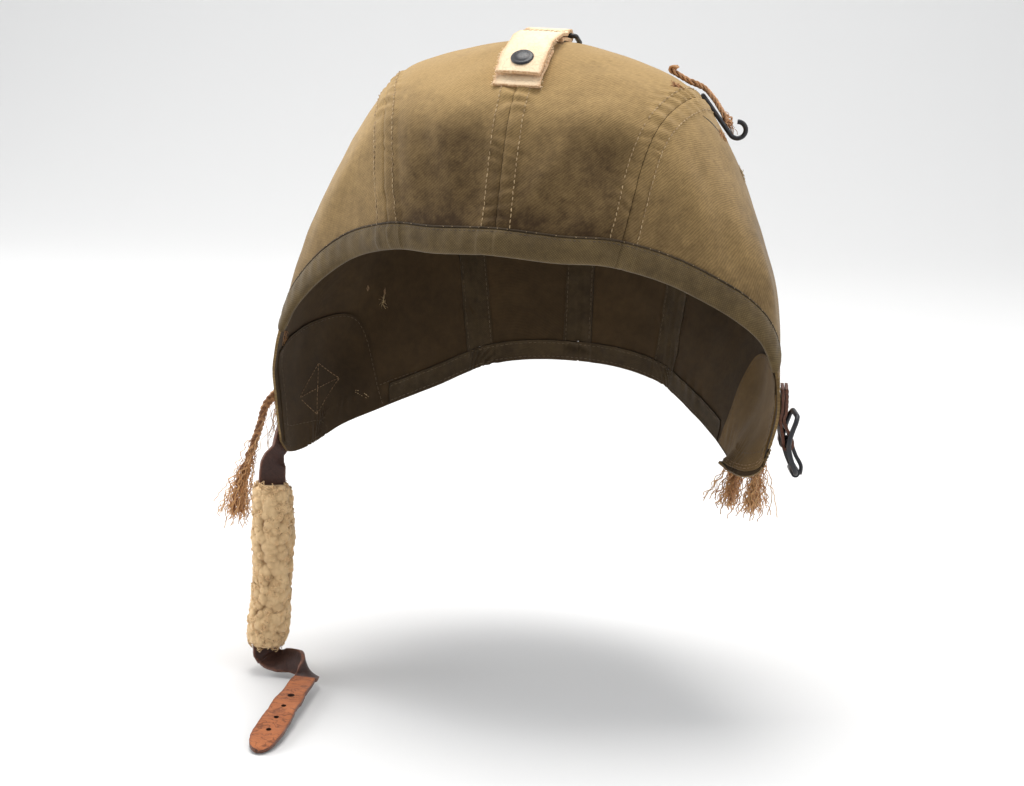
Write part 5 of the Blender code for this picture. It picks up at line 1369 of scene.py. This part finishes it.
# %% [markdown]
# Wires are bent from round rod. Each is a curve with a round bevel, turned into a mesh once it lies
# in place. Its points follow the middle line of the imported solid.

# %% Bent wires
def bent_wire(name, points, diameter, closed=False):
    """A round wire along a smooth path, as a mesh with round ends."""
    points = np.asarray(points, float)
    if closed:
        line = smooth_path(np.concatenate([points, points[:1]]), 8 * len(points))[:-1]
    else:
        line = even_path(points, 120)
    curve = bpy.data.curves.new(name, "CURVE")
    curve.dimensions = "3D"
    curve.bevel_depth = diameter / 2
    curve.bevel_resolution = 4
    curve.use_fill_caps = True
    thread = curve.splines.new("POLY")
    thread.points.add(len(line) - 1)
    thread.points.foreach_set("co", np.concatenate([line, np.ones((len(line), 1))], axis=1).reshape(-1))
    thread.use_cyclic_u = closed
    only(linked(name, curve))
    bpy.ops.object.convert(target="MESH")
    made = bpy.context.object
    if not closed:
        bpy.ops.object.mode_set(mode="EDIT")
        bpy.ops.mesh.select_all(action="SELECT")
        bpy.ops.mesh.remove_doubles(threshold=1e-6)
        bpy.ops.mesh.select_all(action="DESELECT")
        bpy.ops.object.mode_set(mode="OBJECT")
        for face in made.data.polygons:
            face.select = len(face.vertices) > 4
        bpy.ops.object.mode_set(mode="EDIT")
        bpy.ops.mesh.select_mode(type="FACE")
        bpy.ops.mesh.inset(thickness=diameter * 0.14, depth=diameter * 0.12)
        bpy.ops.object.mode_set(mode="OBJECT")
    return made


def rounded_frame(width, length, bar_corner, far_corner, steps=7):
    """The middle line of a wire frame: its bar on local X, its length along local Y."""
    points = []
    for side, radius, y, start in ((1, bar_corner, bar_corner, -math.pi / 2),
                                   (1, far_corner, length - far_corner, 0),
                                   (-1, far_corner, length - far_corner, math.pi / 2),
                                   (-1, bar_corner, bar_corner, math.pi)):
        x = side * (width / 2 - radius)
        for turn in np.linspace(start, start + math.pi / 2, steps):
            points.append(Vector((x + radius * math.cos(turn), y + radius * math.sin(turn), 0)))
    return points


def between(points, longest):
    """The same closed outline with extra points, so that straight runs stay straight."""
    made = []
    for k, a in enumerate(points):
        b = points[(k + 1) % len(points)]
        parts = max(1, int((b - a).length / longest))
        made += [a.lerp(b, j / parts) for j in range(parts)]
    return made


def placed_at(place, points):
    """Points moved from a part's own frame to its place."""
    return [(place @ p)[:] for p in points]


# %% The crown ring
RING_WIDTH, RING_LENGTH = 0.0325, 0.0150
bar_point = over(0, HEEL_GUIDE + BAR_OFFSET / HEEL_PACE, BAR_LIFT)
back_point = over(0, HEEL_GUIDE + (BAR_OFFSET + RING_LENGTH) / HEEL_PACE, CLOTH / 2 + 2 * GAP + RING_WIRE / 2)
ring_place = placed_frame(bar_point, ACROSS, Vector(ACROSS).cross(Vector(back_point - bar_point)))
ring_outline = between(rounded_frame(RING_WIDTH - RING_WIRE, RING_LENGTH, 0.0017, 0.0050), 0.003)
ring = bent_wire("crown_ring_wire", placed_at(ring_place, ring_outline), RING_WIRE, closed=True)
enamelled(ring, "crown_ring", "crown_ring")


# %% [markdown]
# High on the wearer's left a piece of the same flat braid holds a wire hook. Its upper end is
# rolled, it passes over the eye of the hook, and it goes on beside the shank.

# %% The mask hook and its braid
HOOK_WIRE = 0.0027
HOOK_START, HOOK_END = np.array((1.47, 1.96)), np.array((2.31, 2.08))
HOOK_REST = CLOTH / 2 + GAP
HOOK_LIFT = HOOK_REST + GAP + HOOK_WIRE / 2


def hook_spot(share, lift, shift=0.0):
    """A point over the cloth on the hook braid's line."""
    station, guide = HOOK_START + (HOOK_END - HOOK_START) * share
    return over(station, guide + shift / pace(station, guide, 1), lift)


BRAID_FLAT = HOOK_REST + 0.0016
BRAID_OVER = HOOK_LIFT + HOOK_WIRE / 2 + GAP + 0.0013
BRAID_RISES = ((0, 0), (0, 0), (0.15, 0), (0.6, 0.45), (1, 0.9), (1, 1), (0.95, 1), (0.85, 1), (0.8, 1), (0.75, 1))
hook_path = [hook_spot(0.02, BRAID_FLAT + 0.0028), hook_spot(-0.02, BRAID_FLAT + 0.0012), hook_spot(0.03, BRAID_FLAT)]
hook_path += [hook_spot(k / 10, BRAID_FLAT + (BRAID_OVER - BRAID_FLAT) * rise, 0.0044 * narrow)
              for k, (rise, narrow) in enumerate(BRAID_RISES, 1)]
hook_line = even_path(np.array(hook_path), 170) + outward(1.9, 2.0) * 0.0006
rng = np.random.default_rng(60)
hook_side = surface_slopes(1.9, 2.0)[1]
width, thick, pitch = 0.0088, 0.0040, 0.0092
lines, guides, radius = plait(hook_line, hook_side, width, thick, pitch, 0.86, 0.007, rng)
hook_braid = tubes("hook_braid_plait", lines, radius, 5, seed=61, guide=guides)
finished(hook_braid, braid_yarn, "helmet", "hook_braid", slot="braided_cord")
roots = hook_line[rng.integers(150, 169, 30)] + rng.normal(0, 0.0012, (30, 3))
ways = np.tile(unit(hook_line[-1] - hook_line[-12]), (30, 1))
loose_threads("hook_braid_fray", roots, ways, rng.uniform(0.002, 0.007, 30), rng, 0.0002, braid_yarn, 62, steps=8,
              spread=0.3)


# %% The hook
EYE_SHARE = 0.56
eye_centre = Vector(hook_spot(EYE_SHARE, HOOK_LIFT))
eye_down = (Vector(hook_spot(1.0, HOOK_LIFT)) - eye_centre).normalized()
eye_at = HOOK_START + (HOOK_END - HOOK_START) * EYE_SHARE
eye_bar = Vector(surface_slopes(*eye_at)[1]).normalized()
eye_out = eye_bar.cross(eye_down).normalized()
if eye_out.dot(Vector(outward(*eye_at))) < 0:
    eye_out = -eye_out
eye_place = placed_frame(eye_centre, eye_down, eye_out)
SHANK, CURL = 0.0270, 0.0046
hook_points = [(0.0002, -0.0055, 0), (0, -0.0042, 0), (0, -0.0022, 0), (0.0006, -0.0006, 0), (0.0022, 0, 0)]
hook_points += [(SHANK * s, 0.0002 * math.sin(9 * s), 0) for s in (0.2, 0.4, 0.6, 0.8, 1.0)]
hook_points += [(SHANK + CURL * math.sin(t), 0, CURL * (1 - math.cos(t)))
                for t in np.linspace(0, math.radians(235), 13)[1:]]
hook = bent_wire("mask_hook_wire", placed_at(eye_place, map(Vector, hook_points)), HOOK_WIRE)
enamelled(hook, "mask_hook", "mask_hook")
print("hook", round(SHANK + CURL, 4), "m from its eye to the bend")


# %% [markdown]
# The chin strap is one length of dark leather. Its end is sewn on the outside of the right flap, it
# bends at the flap's edge, runs through the fleece, and twists below it. Modelling it as one strip
# keeps the leather unbroken where it bends.

# %% The chin strap
STRAP_WIDTH, STRAP_THICK = 0.0160, 0.0024
ANCHOR_PLACE = np.array((-0.915 * TIP, 0.53 * HEM))
ANCHOR_WAY = np.array((0.0, -1.0, -0.55))
ANCHOR_LENGTH, EDGE_RUN = 0.0480, 0.0120         # the sewn part, and the part over the flap's edge
SLEEVE_LENGTH, SLEEVE_RADIUS, SLEEVE_BOW = 0.0960, 0.0124, 0.0022
HANG_OUT, HANG_DOWN = 0.0085, 0.0130             # how the strap turns down before the sleeve
PAST_EDGE, PAST_SLEEVE = 0.00095, 0.0035         # how far it runs straight on past them
TWIST = np.array((0.0330, -0.0200, -0.0045))     # from the sleeve to the tail


def flap_spot(down, sideways, lift):
    """A point on the right flap, offset along and across the strap from the anchor's place."""
    slope_s, slope_g = surface_slopes(*ANCHOR_PLACE)
    normal = unit(np.cross(slope_s, slope_g))
    way = squared(ANCHOR_WAY, normal)
    move = way * down + np.cross(normal, way) * sideways
    ss, sg, gg = slope_s.dot(slope_s), slope_s.dot(slope_g), slope_g.dot(slope_g)
    ms, mg = move.dot(slope_s), move.dot(slope_g)
    off = np.array((ms * gg - mg * sg, mg * ss - ms * sg)) / (ss * gg - sg * sg)
    return over(*(ANCHOR_PLACE + off), lift)


# %% The way the strap takes
strap_lift = CLOTH / 2 + GAP + STRAP_THICK / 2
front = 0.65 * ANCHOR_LENGTH
foot = flap_spot(front, 0, strap_lift)
heading = unit(foot - flap_spot(front - STRAP_WIDTH / 2, 0, strap_lift))
across_way = flap_spot(front, STRAP_WIDTH / 2, strap_lift) - flap_spot(front, -STRAP_WIDTH / 2, strap_lift)
across_way = squared(across_way, heading)
start = foot + heading * (EDGE_RUN + PAST_EDGE)
axis = unit(np.array((0.02, -0.13, -1.0)))
flat_way = squared(np.array((0.75, 0.66, 0.0)), axis)
if across_way.dot(flat_way) < 0:
    across_way = -across_way
sleeve_top = start + heading * HANG_OUT + axis * HANG_DOWN
sleeve_end = sleeve_top + axis * (SLEEVE_LENGTH + PAST_SLEEVE)

# Each step of the route is a place, the way the strap's width lies there, and that width.
route = [(flap_spot(x, 0, strap_lift), across_way, STRAP_WIDTH + 0.0030 * min(1, (front - x) / 0.0190))
         for x in np.linspace(-0.35 * ANCHOR_LENGTH, front, 10)]
route += [(foot + heading * EDGE_RUN * share, across_way, STRAP_WIDTH - 0.0045 * share) for share in (0.4, 0.9)]
route += [(start + heading * (HANG_OUT * lead) + axis * (HANG_DOWN * drop),
           across_way * (1 - turn) + flat_way * turn, width)
          for lead, drop, turn, width in ((0, 0, 0, 0.0108), (0.3, 0.02, 0.15, 0.0125), (0.65, 0.05, 0.4, 0.0150),
                                          (0.92, 0.15, 0.75, 0.0160), (1.0, 0.4, 1.0, 0.0160))]
route += [(sleeve_top + (sleeve_end - sleeve_top) * share, flat_way, STRAP_WIDTH) for share in np.linspace(0, 1, 7)]
route += [(sleeve_end + TWIST * place, unit(np.array(side)), 0.0158 if place[0] < 0.5 else 0.0142)
          for place, side in (((0.04, 0, 0.5), (0.75, 0.66, 0)), ((0.13, 0.05, 0.85), (0.6, 0.7, 0.3)),
                              ((0.28, 0.1, 0.85), (0.4, 0.75, 0.5)), ((0.5, 0.15, 0.6), (0.1, 0.5, 0.85)),
                              ((0.74, 0.3, 0.5), (-0.2, 0.2, 0.95)), ((0.92, 0.54, 0.6), (-0.5, 0, 0.85)),
                              ((1, 0.8, 0.85), (-0.9, 0, 0.4)), ((1, 1, 1), (-0.995, -0.1, 0)))]


# %% The strap, its bend and its stitches
line, sides, widths = (np.array(part) for part in zip(*route))
rows = 210
at = np.linspace(0, len(line) - 1, 12 * len(line))
fine = smooth_path(line, len(at))
walked = walked_along(fine)
even = np.linspace(0, walked[-1], rows)
strap_line = picked(even, walked, fine)
strap_sides = unit(picked(even, walked, picked(at, np.arange(len(line)), unit(sides))))
strap_widths = np.interp(even, walked, np.interp(at, np.arange(len(line)), widths))
chin_points, chin_wear = strip_points(strap_line, strap_sides, strap_widths - 0.0002, 13, 0.0, 0.0002, 21)
kinks = np.sin(np.linspace(0, 60, rows)) * 0.00018 * ease(np.linspace(0, 1, rows), 0.74, 0.80)
chin_points = chin_points + (unit(np.cross(strap_sides, ahead_of(strap_line))) * kinks[:, None])[:, None]
chin_leather = leather("chin_strap_leather", (chin_points, chin_wear), STRAP_THICK - 0.0003, 0.0005)
finished(chin_leather, brown_leather, None, "chin_strap_anchor", "chin_strap", slot="dark_leather")
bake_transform(chin_leather)
to_right = (-1, 0, 0)
anchor_rows = [strap_row(chin_points, 0.004, 0.17, STRAP_THICK / 2, column=c, count=60, out=to_right) for c in (1, 11)]
anchor_rows += [strap_row(chin_points, 0.10, 0.90, STRAP_THICK / 2, row=r, out=to_right) for r in (3, 30)]
sewn("anchor_stitches", anchor_rows, dark_thread, seed=22, pitch=0.0030)
print("chin strap", round(walked[-1], 3), "m")


# %% [markdown]
# The tail is the same strap seen from its flesh side. It is leaf-shaped, has four punched holes
# whose first is worn large, and cracks run across it. The holes are cut with cylinders.

# %% The tail
TAIL_LENGTH, TAIL_SAG = 0.0880, 0.0020
TAIL_ROOT_WIDTH, TAIL_WIDTH = 0.0125, 0.0165
FIRST_HOLE, HOLE_PITCH = 0.0270, 0.0135
tail_way = unit(np.array((0.10, -0.99, -0.065)))
tail_root = strap_line[-1] + tail_way * 0.0003
tail_side = unit(np.array((-tail_way[1], tail_way[0], 0)))
tail_up = np.cross(tail_side, tail_way)
run = 1 - (1 - np.linspace(0, 1, 90)) ** 1.25
part = np.clip((run - 0.80) / 0.20, 0, 1)
tail_widths = TAIL_ROOT_WIDTH + (TAIL_WIDTH - TAIL_ROOT_WIDTH) * np.sin(math.pi / 2 * np.minimum(run / 0.80, 1))
tail_widths = tail_widths * np.sqrt(np.maximum(1 - part ** 2, 0.10 ** 2))
tail_line = tail_root + tail_way * (TAIL_LENGTH * run)[:, None] - tail_up * (TAIL_SAG * np.sin(math.pi * run))[:, None]
tail_points, tail_wear = strip_points(tail_line, tail_side, tail_widths, 27, 0.0, 0.00018, 31)
tail_points = tail_points + tail_up * (0.0004 * np.sin(run * 21) * np.linspace(-1, 1, 27)[:, None]).T[..., None]
tail_wear = np.maximum(tail_wear, 0.6 * (run > 0.985)[:, None])
tail = leather("chin_strap_tail_leather", (tail_points, tail_wear), STRAP_THICK - 0.0002, 0.0004, backed=True)
for k in range(4):
    along_tail = FIRST_HOLE + HOLE_PITCH * k
    spot = tail_root + tail_way * along_tail - tail_up * TAIL_SAG * math.sin(math.pi * along_tail / TAIL_LENGTH)
    deselect()
    bpy.ops.mesh.primitive_cylinder_add(vertices=20, radius=0.0015 if k else 0.0021, depth=0.008, location=spot)
    punch = bpy.context.object
    punch.rotation_mode = "QUATERNION"
    punch.rotation_quaternion = Vector(tail_up).to_track_quat("Z", "Y")
    applied(tail, "BOOLEAN", operation="DIFFERENCE", object=punch, solver="EXACT")
    bpy.data.objects.remove(punch, do_unlink=True)
finished(tail, brown_leather, None, "chin_strap_tail", slot="tan_leather", back=tan_leather)
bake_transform(tail)
print("tail faces", len(tail.data.polygons))


# %% [markdown]
# Sheepskin is matted into small curls a few millimetres wide. A lumpy closed core gives the tube its
# slot and its outline, and some thousand short curls of wool lie over it. The wool is sheared pile
# on a hide, not a filled cushion, so its form comes from the curls and not from a cloth simulation.

# %% The sheepskin sleeve
wool, tree, spot = new_finish("sheepskin")
level = weighed(tree, (attribute(tree, "shade"), 0.75), (noise_at(tree, spot, 130.0, 4.0, 0.6), 0.35))
wool_colour = mixed(tree, spread(tree, level, 0.15, 0.65), (0.27, 0.150, 0.062, 1), (0.80, 0.565, 0.31, 1))
close_finish(tree, wool_colour, 0.95, noise_at(tree, spot, 2600.0, 3.0, 0.6), 0.4, 0.0002, Sheen_Weight=0.25,
             Specular_IOR_Level=0.15)
SLEEVE_SHAPE = np.array((
    (0.0, 0.77), (0.025, 0.93), (0.09, 1.02), (0.2, 0.98), (0.32, 1.04), (0.45, 0.97), (0.6, 0.95), (0.72, 0.94),
    (0.82, 1.02), (0.92, 0.98), (0.975, 0.90), (1.0, 0.77)))     # how far down, and its share of the radius
thin_way = np.cross(axis, flat_way)


def sleeve_place(run, turn, radius):
    """A point of the sleeve: how far down, which way round, and how far out."""
    run, turn = np.broadcast_arrays(np.asarray(run, float), np.asarray(turn, float))
    middle = sleeve_top + axis * (SLEEVE_LENGTH * run)[..., None]
    middle = middle + np.array((1.0, 0, 0)) * (SLEEVE_BOW * np.sin(math.pi * run))[..., None]
    way = flat_way * np.cos(turn)[..., None] + thin_way * np.sin(turn)[..., None]
    return middle + way * np.asarray(radius)[..., None], way


# %% The clumps and the core under them
rng = np.random.default_rng(71)
clumps, count = 640, 6100
GOLDEN_TURN = 2.39996    # radians; it spreads the clumps evenly round the sleeve
home_turn = (np.arange(clumps) * GOLDEN_TURN + rng.normal(0, 0.25, clumps)) % (2 * math.pi)
home_run = np.clip((np.arange(clumps) + 0.5) / clumps + rng.normal(0, 0.008, clumps), 0.004, 0.996)
home_radius = SLEEVE_RADIUS * np.interp(home_run, *SLEEVE_SHAPE.T) - 0.0016 + rng.normal(0, 0.00030, clumps)
home, home_out = sleeve_place(home_run, home_turn, home_radius)
home_size = rng.uniform(0.0019, 0.0034, clumps)
home_shade = rng.normal(0, 0.12, clumps)
rounds, downs = 220, 270
turns, runs = np.meshgrid(np.arange(rounds) * 2 * math.pi / rounds, np.linspace(0, 1, downs), indexing="ij")
core_radius = SLEEVE_RADIUS * np.interp(runs, *SLEEVE_SHAPE.T) - 0.0019
skin, _ = sleeve_place(runs, turns, core_radius)
puffs = np.zeros(runs.shape)
for spot, size, tall in zip(home, home_size, rng.uniform(0.0011, 0.0024, clumps)):
    near = np.linalg.norm(skin - spot, axis=-1)
    puffs = np.maximum(puffs, tall * np.maximum(1 - (near / (size * 1.25)) ** 2, 0) ** 0.75)
lint = np.sin(turns * 61 + runs * 173 + 3 * np.sin(runs * 90)) * np.sin(runs * 401 + turns * 23) * 0.00009
core_radius = core_radius + (puffs + lint) * ease(runs, 0.0, 0.02) * ease(1 - runs, 0.0, 0.02)
skin, _ = sleeve_place(runs, turns, core_radius)
reach = np.maximum(np.abs(np.cos(turns[:, :2])) / 0.0085, np.abs(np.sin(turns[:, :2])) / 0.0017)
slot, _ = sleeve_place(np.array([1.0, 0.0]), turns[:, :2], np.minimum(1 / reach, core_radius[:, [-1, 0]] - 0.0002))
skin = np.concatenate([skin, slot, skin[:, :1]], axis=1)
core = laid("sheepskin_core", np.concatenate([skin, skin[:1]]))
sealed(core)
spots = np.array([vertex.co for vertex in core.data.vertices])
nearest = np.zeros(len(spots))
for spot, size in zip(home, home_size):
    near = np.linalg.norm(spots - spot, axis=-1) / (size * 1.2)
    nearest = np.maximum(nearest, np.sqrt(np.maximum(1 - near * near, 0)))
# Painted shade: the core is darker in the crevices between the clumps and lighter on their tops.
set_values(core, "shade", 0.08 + 0.52 * nearest)
finished(core, wool, "fleece", "sheepskin_sleeve", slot="sheepskin")


# %% The curls
which = rng.integers(0, clumps, count)
out = home_out[which]
one = unit(np.cross(axis, out))
two = np.cross(out, one)
reach_out = home_size[which] * np.sqrt(rng.random(count))
sweep = np.minimum(rng.uniform(0.0016, 0.0030, count) / np.maximum(reach_out, 0.0006), 3.2) * rng.choice((-1, 1), count)
step = np.linspace(0, 1, 6)
angle = rng.uniform(0, 2 * math.pi, count)[:, None] + sweep[:, None] * step
radial = reach_out[:, None] * (1 + 0.25 * np.sin(step * 5 + rng.uniform(0, 6, (count, 1))))
share = radial / home_size[which][:, None]
height = 0.0016 * np.sqrt(np.maximum(1 - share ** 2, 0.0)) - 0.0001 + rng.normal(0, 0.00016, (count, 1))
height = height - (radial * np.cos(angle)) ** 2 / (2 * SLEEVE_RADIUS) - 0.0005 * (step - 0.5) ** 2 * 4
curls = home[which][:, None] + one[:, None] * (radial * np.cos(angle))[..., None]
curls = curls + two[:, None] * (radial * np.sin(angle))[..., None] + out[:, None] * height[..., None]
thickness = rng.uniform(0.00016, 0.00028, (count, 1)) * np.array((0.7, 1.1, 1.15, 1.1, 0.95, 0.5))
# Painted light and shade: curls near a clump's middle are lighter and those at its edge darker, with each clump's
# random tone added.
shades = np.clip(0.30 + 0.45 * (1 - share.mean(axis=1) ** 2) + home_shade[which] + rng.normal(0, 0.10, count), 0, 1)
fleece_curls = tubes("sheepskin_curls", curls, thickness, 3, shades, seed=72)
finished(fleece_curls, wool, "fleece", smooth_angle=80)
print("curls", count, "faces", len(fleece_curls.data.polygons))


# %% [markdown]
# On the left flap a folded leather tab carries a wire buckle with a centre bar. A thin steel roller
# turns on its lower bar and a wire prong lies over it.

# %% The buckle
BUCKLE_WIRE, BUCKLE_WIDTH, BUCKLE_HEIGHT, BUCKLE_CORNER, BUCKLE_BOW = 0.0028, 0.0230, 0.0350, 0.0040, 0.0048
bar = on_flap(1, -0.3256 * REACH, -0.8391 * DROP, 0.0094)
out_way = Vector((0.95, 0.30, 0.04)).normalized()
bar_way = out_way.cross(Vector((0, 0, 1))).normalized()
buckle_place = placed_frame(bar, bar_way, out_way)
half_width, half_height = (BUCKLE_WIDTH - BUCKLE_WIRE) / 2, (BUCKLE_HEIGHT - BUCKLE_WIRE) / 2
outline = []
for x_side, y_side, first in ((1, 1, 0), (-1, 1, math.pi / 2), (-1, -1, math.pi), (1, -1, 1.5 * math.pi)):
    for t in np.linspace(first, first + math.pi / 2, 6):
        outline.append(Vector((x_side * (half_width - BUCKLE_CORNER) + BUCKLE_CORNER * math.cos(t),
                               y_side * (half_height - BUCKLE_CORNER) + BUCKLE_CORNER * math.sin(t), 0)))
outline = between(outline, 0.0025)
for p in outline:
    p.z = BUCKLE_BOW * (abs(p.y) / half_height) ** 1.5
frame_wire = bent_wire("buckle_frame_wire", placed_at(buckle_place, outline), BUCKLE_WIRE, closed=True)
bar_line = [Vector((x, 0, 0)) for x in np.linspace(-half_width, half_width, 8)]
centre_bar = bent_wire("buckle_bar_wire", placed_at(buckle_place, bar_line), BUCKLE_WIRE * 0.96)
applied(frame_wire, "BOOLEAN", operation="UNION", object=centre_bar, solver="EXACT")
bpy.data.objects.remove(centre_bar, do_unlink=True)
enamelled(frame_wire, "buckle", "buckle_frame")


# %% The prong and the roller
PRONG_WIRE, ROLLER_WALL, ROLLER_LENGTH = 0.0022, 0.0008, 0.0135
bore = BUCKLE_WIRE / 2 + GAP
eye = bore + PRONG_WIRE / 2
roller_radius = bore + ROLLER_WALL
roller_out = roller_radius + GAP + PRONG_WIRE / 2
prong_points = [Vector((0, eye * math.cos(t), eye * math.sin(t)))
                for t in np.linspace(-0.2 * math.pi, -1.5 * math.pi, 12)]
prong_points += [Vector((0, half_height * 0.45, eye + (BUCKLE_BOW + roller_out - eye) * 0.45)),
                 Vector((0, half_height * 0.85, BUCKLE_BOW + roller_out)),
                 Vector((0, half_height + roller_radius, BUCKLE_BOW + roller_out - GAP))]
prong = bent_wire("buckle_prong_wire", placed_at(buckle_place, prong_points), PRONG_WIRE)
enamelled(prong, "prong", "buckle_prong")
roller_place = buckle_place @ Matrix.Translation((0, half_height, BUCKLE_BOW)) @ Matrix.Rotation(math.pi / 2, 4, "Y")
half = ROLLER_LENGTH / 2
roller_profile = [(bore, 0.0001 - half), (bore + 0.0003, -half), (bore + 0.0006, -half), (roller_radius, 0.0002 - half),
                  (roller_radius, half - 0.0002), (bore + 0.0006, half), (bore + 0.0003, half), (bore, half - 0.0001),
                  (bore, 0.0001 - half)]
roller = spun("buckle_roller_tube", roller_profile, roller_place, 32)
enamelled(roller, "roller", "buckle_roller")


# %% The buckle's leather tab
TAB_THICK, TAB_WIDTH = 0.0018, 0.0150
turn_radius = BUCKLE_WIRE / 2 + GAP + TAB_THICK / 2
rest = CLOTH / 2 + GAP + TAB_THICK / 2
rises = [0.0310 * share for share in (1, 0.81, 0.61, 0.42)]
loop = [Vector((0, -turn_radius * 1.2, -turn_radius))]
loop += [Vector((0, turn_radius * math.sin(t), -turn_radius * math.cos(t))) for t in np.linspace(0, math.pi, 13)]
loop += [Vector((0, -turn_radius * 1.3, turn_radius * 0.8))]
tab_path = [on_flap(1, bar[1], bar[2] + rise, rest) for rise in rises] + [np.array(buckle_place @ p) for p in loop]
tab_path += [on_flap(1, bar[1], bar[2] + rise, rest + TAB_THICK + GAP) for rise in reversed(rises)]
sides = [[on_flap(1, bar[1] + side * TAB_WIDTH / 2, bar[2] + rise, rest) for rise in rises] for side in (-1, 1)]
lying = list(unit(np.array(sides[0]) - np.array(sides[1])))
tab_sides = np.array(lying + [bar_way] * len(loop) + lying[::-1])
at = np.linspace(0, len(tab_path) - 1, 150)
tab_line = smooth_path(tab_path, 150)
tab_sides = unit(picked(at, np.arange(len(tab_path)), tab_sides))
buckle_strip = strip_points(tab_line, tab_sides, TAB_WIDTH - 0.0002, 25, 0.0, 0.0002, 51)
to_buckle = buckle_place.inverted()


def prong_slot(spot):
    """True where the tab is slotted for the prong."""
    local = to_buckle @ spot
    return abs(local.x) < 0.0018 and abs(local.y) < eye + 0.0022 and abs(local.z) < 0.006


buckle_tab = leather("buckle_tab_leather", buckle_strip, TAB_THICK - 0.0002, cut_out=prong_slot)
finished(buckle_tab, brown_leather, "helmet", "buckle_tab", slot="dark_leather")
tab_rows = [strap_row(buckle_strip[0], 0.84, 0.995, TAB_THICK / 2, column=column, out=ACROSS) for column in (3, 21)]
sewn("buckle_tab_stitches", tab_rows, dark_thread, seed=52, pitch=0.0028)


# %% [markdown]
# The photographed helmet is worn: near the hook the cloth is slit and rubbed through, with rusty
# threads, and there are pulled threads at two more places. These are short loose fibres that lie
# flat on the cloth, with a thin dark lens of painted shadow where the slit gapes.

# %% Worn places
def rubbed(name, centre, along, sideways, count, material, seed, inside=False, length=(0.0015, 0.0040), radius=0.00016):
    """Loose fibres that lie on the cloth round a (station, guide) place; sizes are in metres."""
    rng = np.random.default_rng(seed)
    slope_s, slope_g = surface_slopes(*centre)
    spread_out = rng.normal(size=(count, 2)) * 0.45
    station = centre[0] + spread_out[:, 0] * sideways / np.linalg.norm(slope_s)
    guide = centre[1] + spread_out[:, 1] * along / np.linalg.norm(slope_g)
    roots = (inner_face if inside else outer_face)(station, guide, THREAD_LIFT)
    turn = rng.uniform(0, 2 * math.pi, count)[:, None]
    ways = unit(slope_s) * np.cos(turn) + unit(slope_g) * np.sin(turn)
    loose_threads(name, roots, ways, rng.uniform(*length, count), rng, radius, material, seed, steps=7, crimp=0.0002,
                  period=0.002, droop=0.0, spread=0.12)


rust_yarn = yarn_finish("rusty_threads", (0.30, 0.13, 0.045, 1), (0.62, 0.34, 0.15, 1), 0.8)
straw_yarn = yarn_finish("straw_threads", (0.26, 0.17, 0.075, 1), (0.52, 0.37, 0.19, 1), 0.8)
rubbed("rubbed_by_slit", (2.44, 1.83), 0.0050, 0.0022, 70, rust_yarn, 81)
rubbed("rubbed_side", (2.82, 2.00), 0.0030, 0.0026, 45, straw_yarn, 82)
rubbed("pulled_by_braid", (1.76, 1.64), 0.0032, 0.0026, 60, rust_yarn, 83, length=(0.0015, 0.0035))
rubbed("pulled_inside", (-3.90, 3.25), 0.0022, 0.0020, 30, straw_yarn, 84, True)
rubbed("frayed_facing", (-4.85, 0.62), 0.0030, 0.0110, 46, rust_yarn, 85, True, (0.002, 0.006), 0.00013)
rubbed("frayed_slit_lips", (-4.42, 3.80), 0.0016, 0.0050, 60, straw_yarn, 86, True, (0.001, 0.003), 0.00014)


# %% The small slit by the hook
gape = np.linspace(0, 1, 40)
slit_rows = []
for off in np.linspace(-1, 1, 5):
    station, guide = 2.22 + 0.24 * gape, 1.62 + 0.20 * gape
    station = station + off * 0.0007 * np.sin(math.pi * gape) / pace(station, guide)
    slit_rows.append(outer_face(station, guide, 0.00008 - 0.00004 * abs(off)))
slit = laid("side_slit", np.array(slit_rows))
# A near-black finish that paints the shadow inside the gaping slit.
slit_painted_shadow = yarn_finish("slit_painted_shadow", (0.012, 0.008, 0.005, 1), (0.03, 0.02, 0.012, 1), 0.95)
thicken(slit, 0.00012, 0.0)
finished(slit, slit_painted_shadow, "helmet")


# %% The double rows along the corner of the left flap
guides = np.linspace(0.45, 3.6, 120)
corner_rows = [inner_row(TIP - inset / pace(TIP - 0.1, guides), guides, LAYER) for inset in (0.0042, 0.0062)]
sewn("left_corner_stitches", corner_rows, box_thread, seed=87, pitch=0.0026, width=0.0005)


# %% [markdown]
# The last step measures what was made, and prints how much longer the visual model is than the
# solids, where cloth and frayed yarn may stand a few millimetres proud. The visual model has to stay inside the solid
# model's box, but
# for the few millimetres that cloth and frayed yarn may stand proud, so both boxes are written down.

# %% Both boxes
scene_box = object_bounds()
longer = [scene_box[1][k] - scene_box[0][k] - cad_box[1][k] + cad_box[0][k] for k in range(3)]
print("longer than the solids by", [round(1000 * side, 1) for side in longer], "mm")
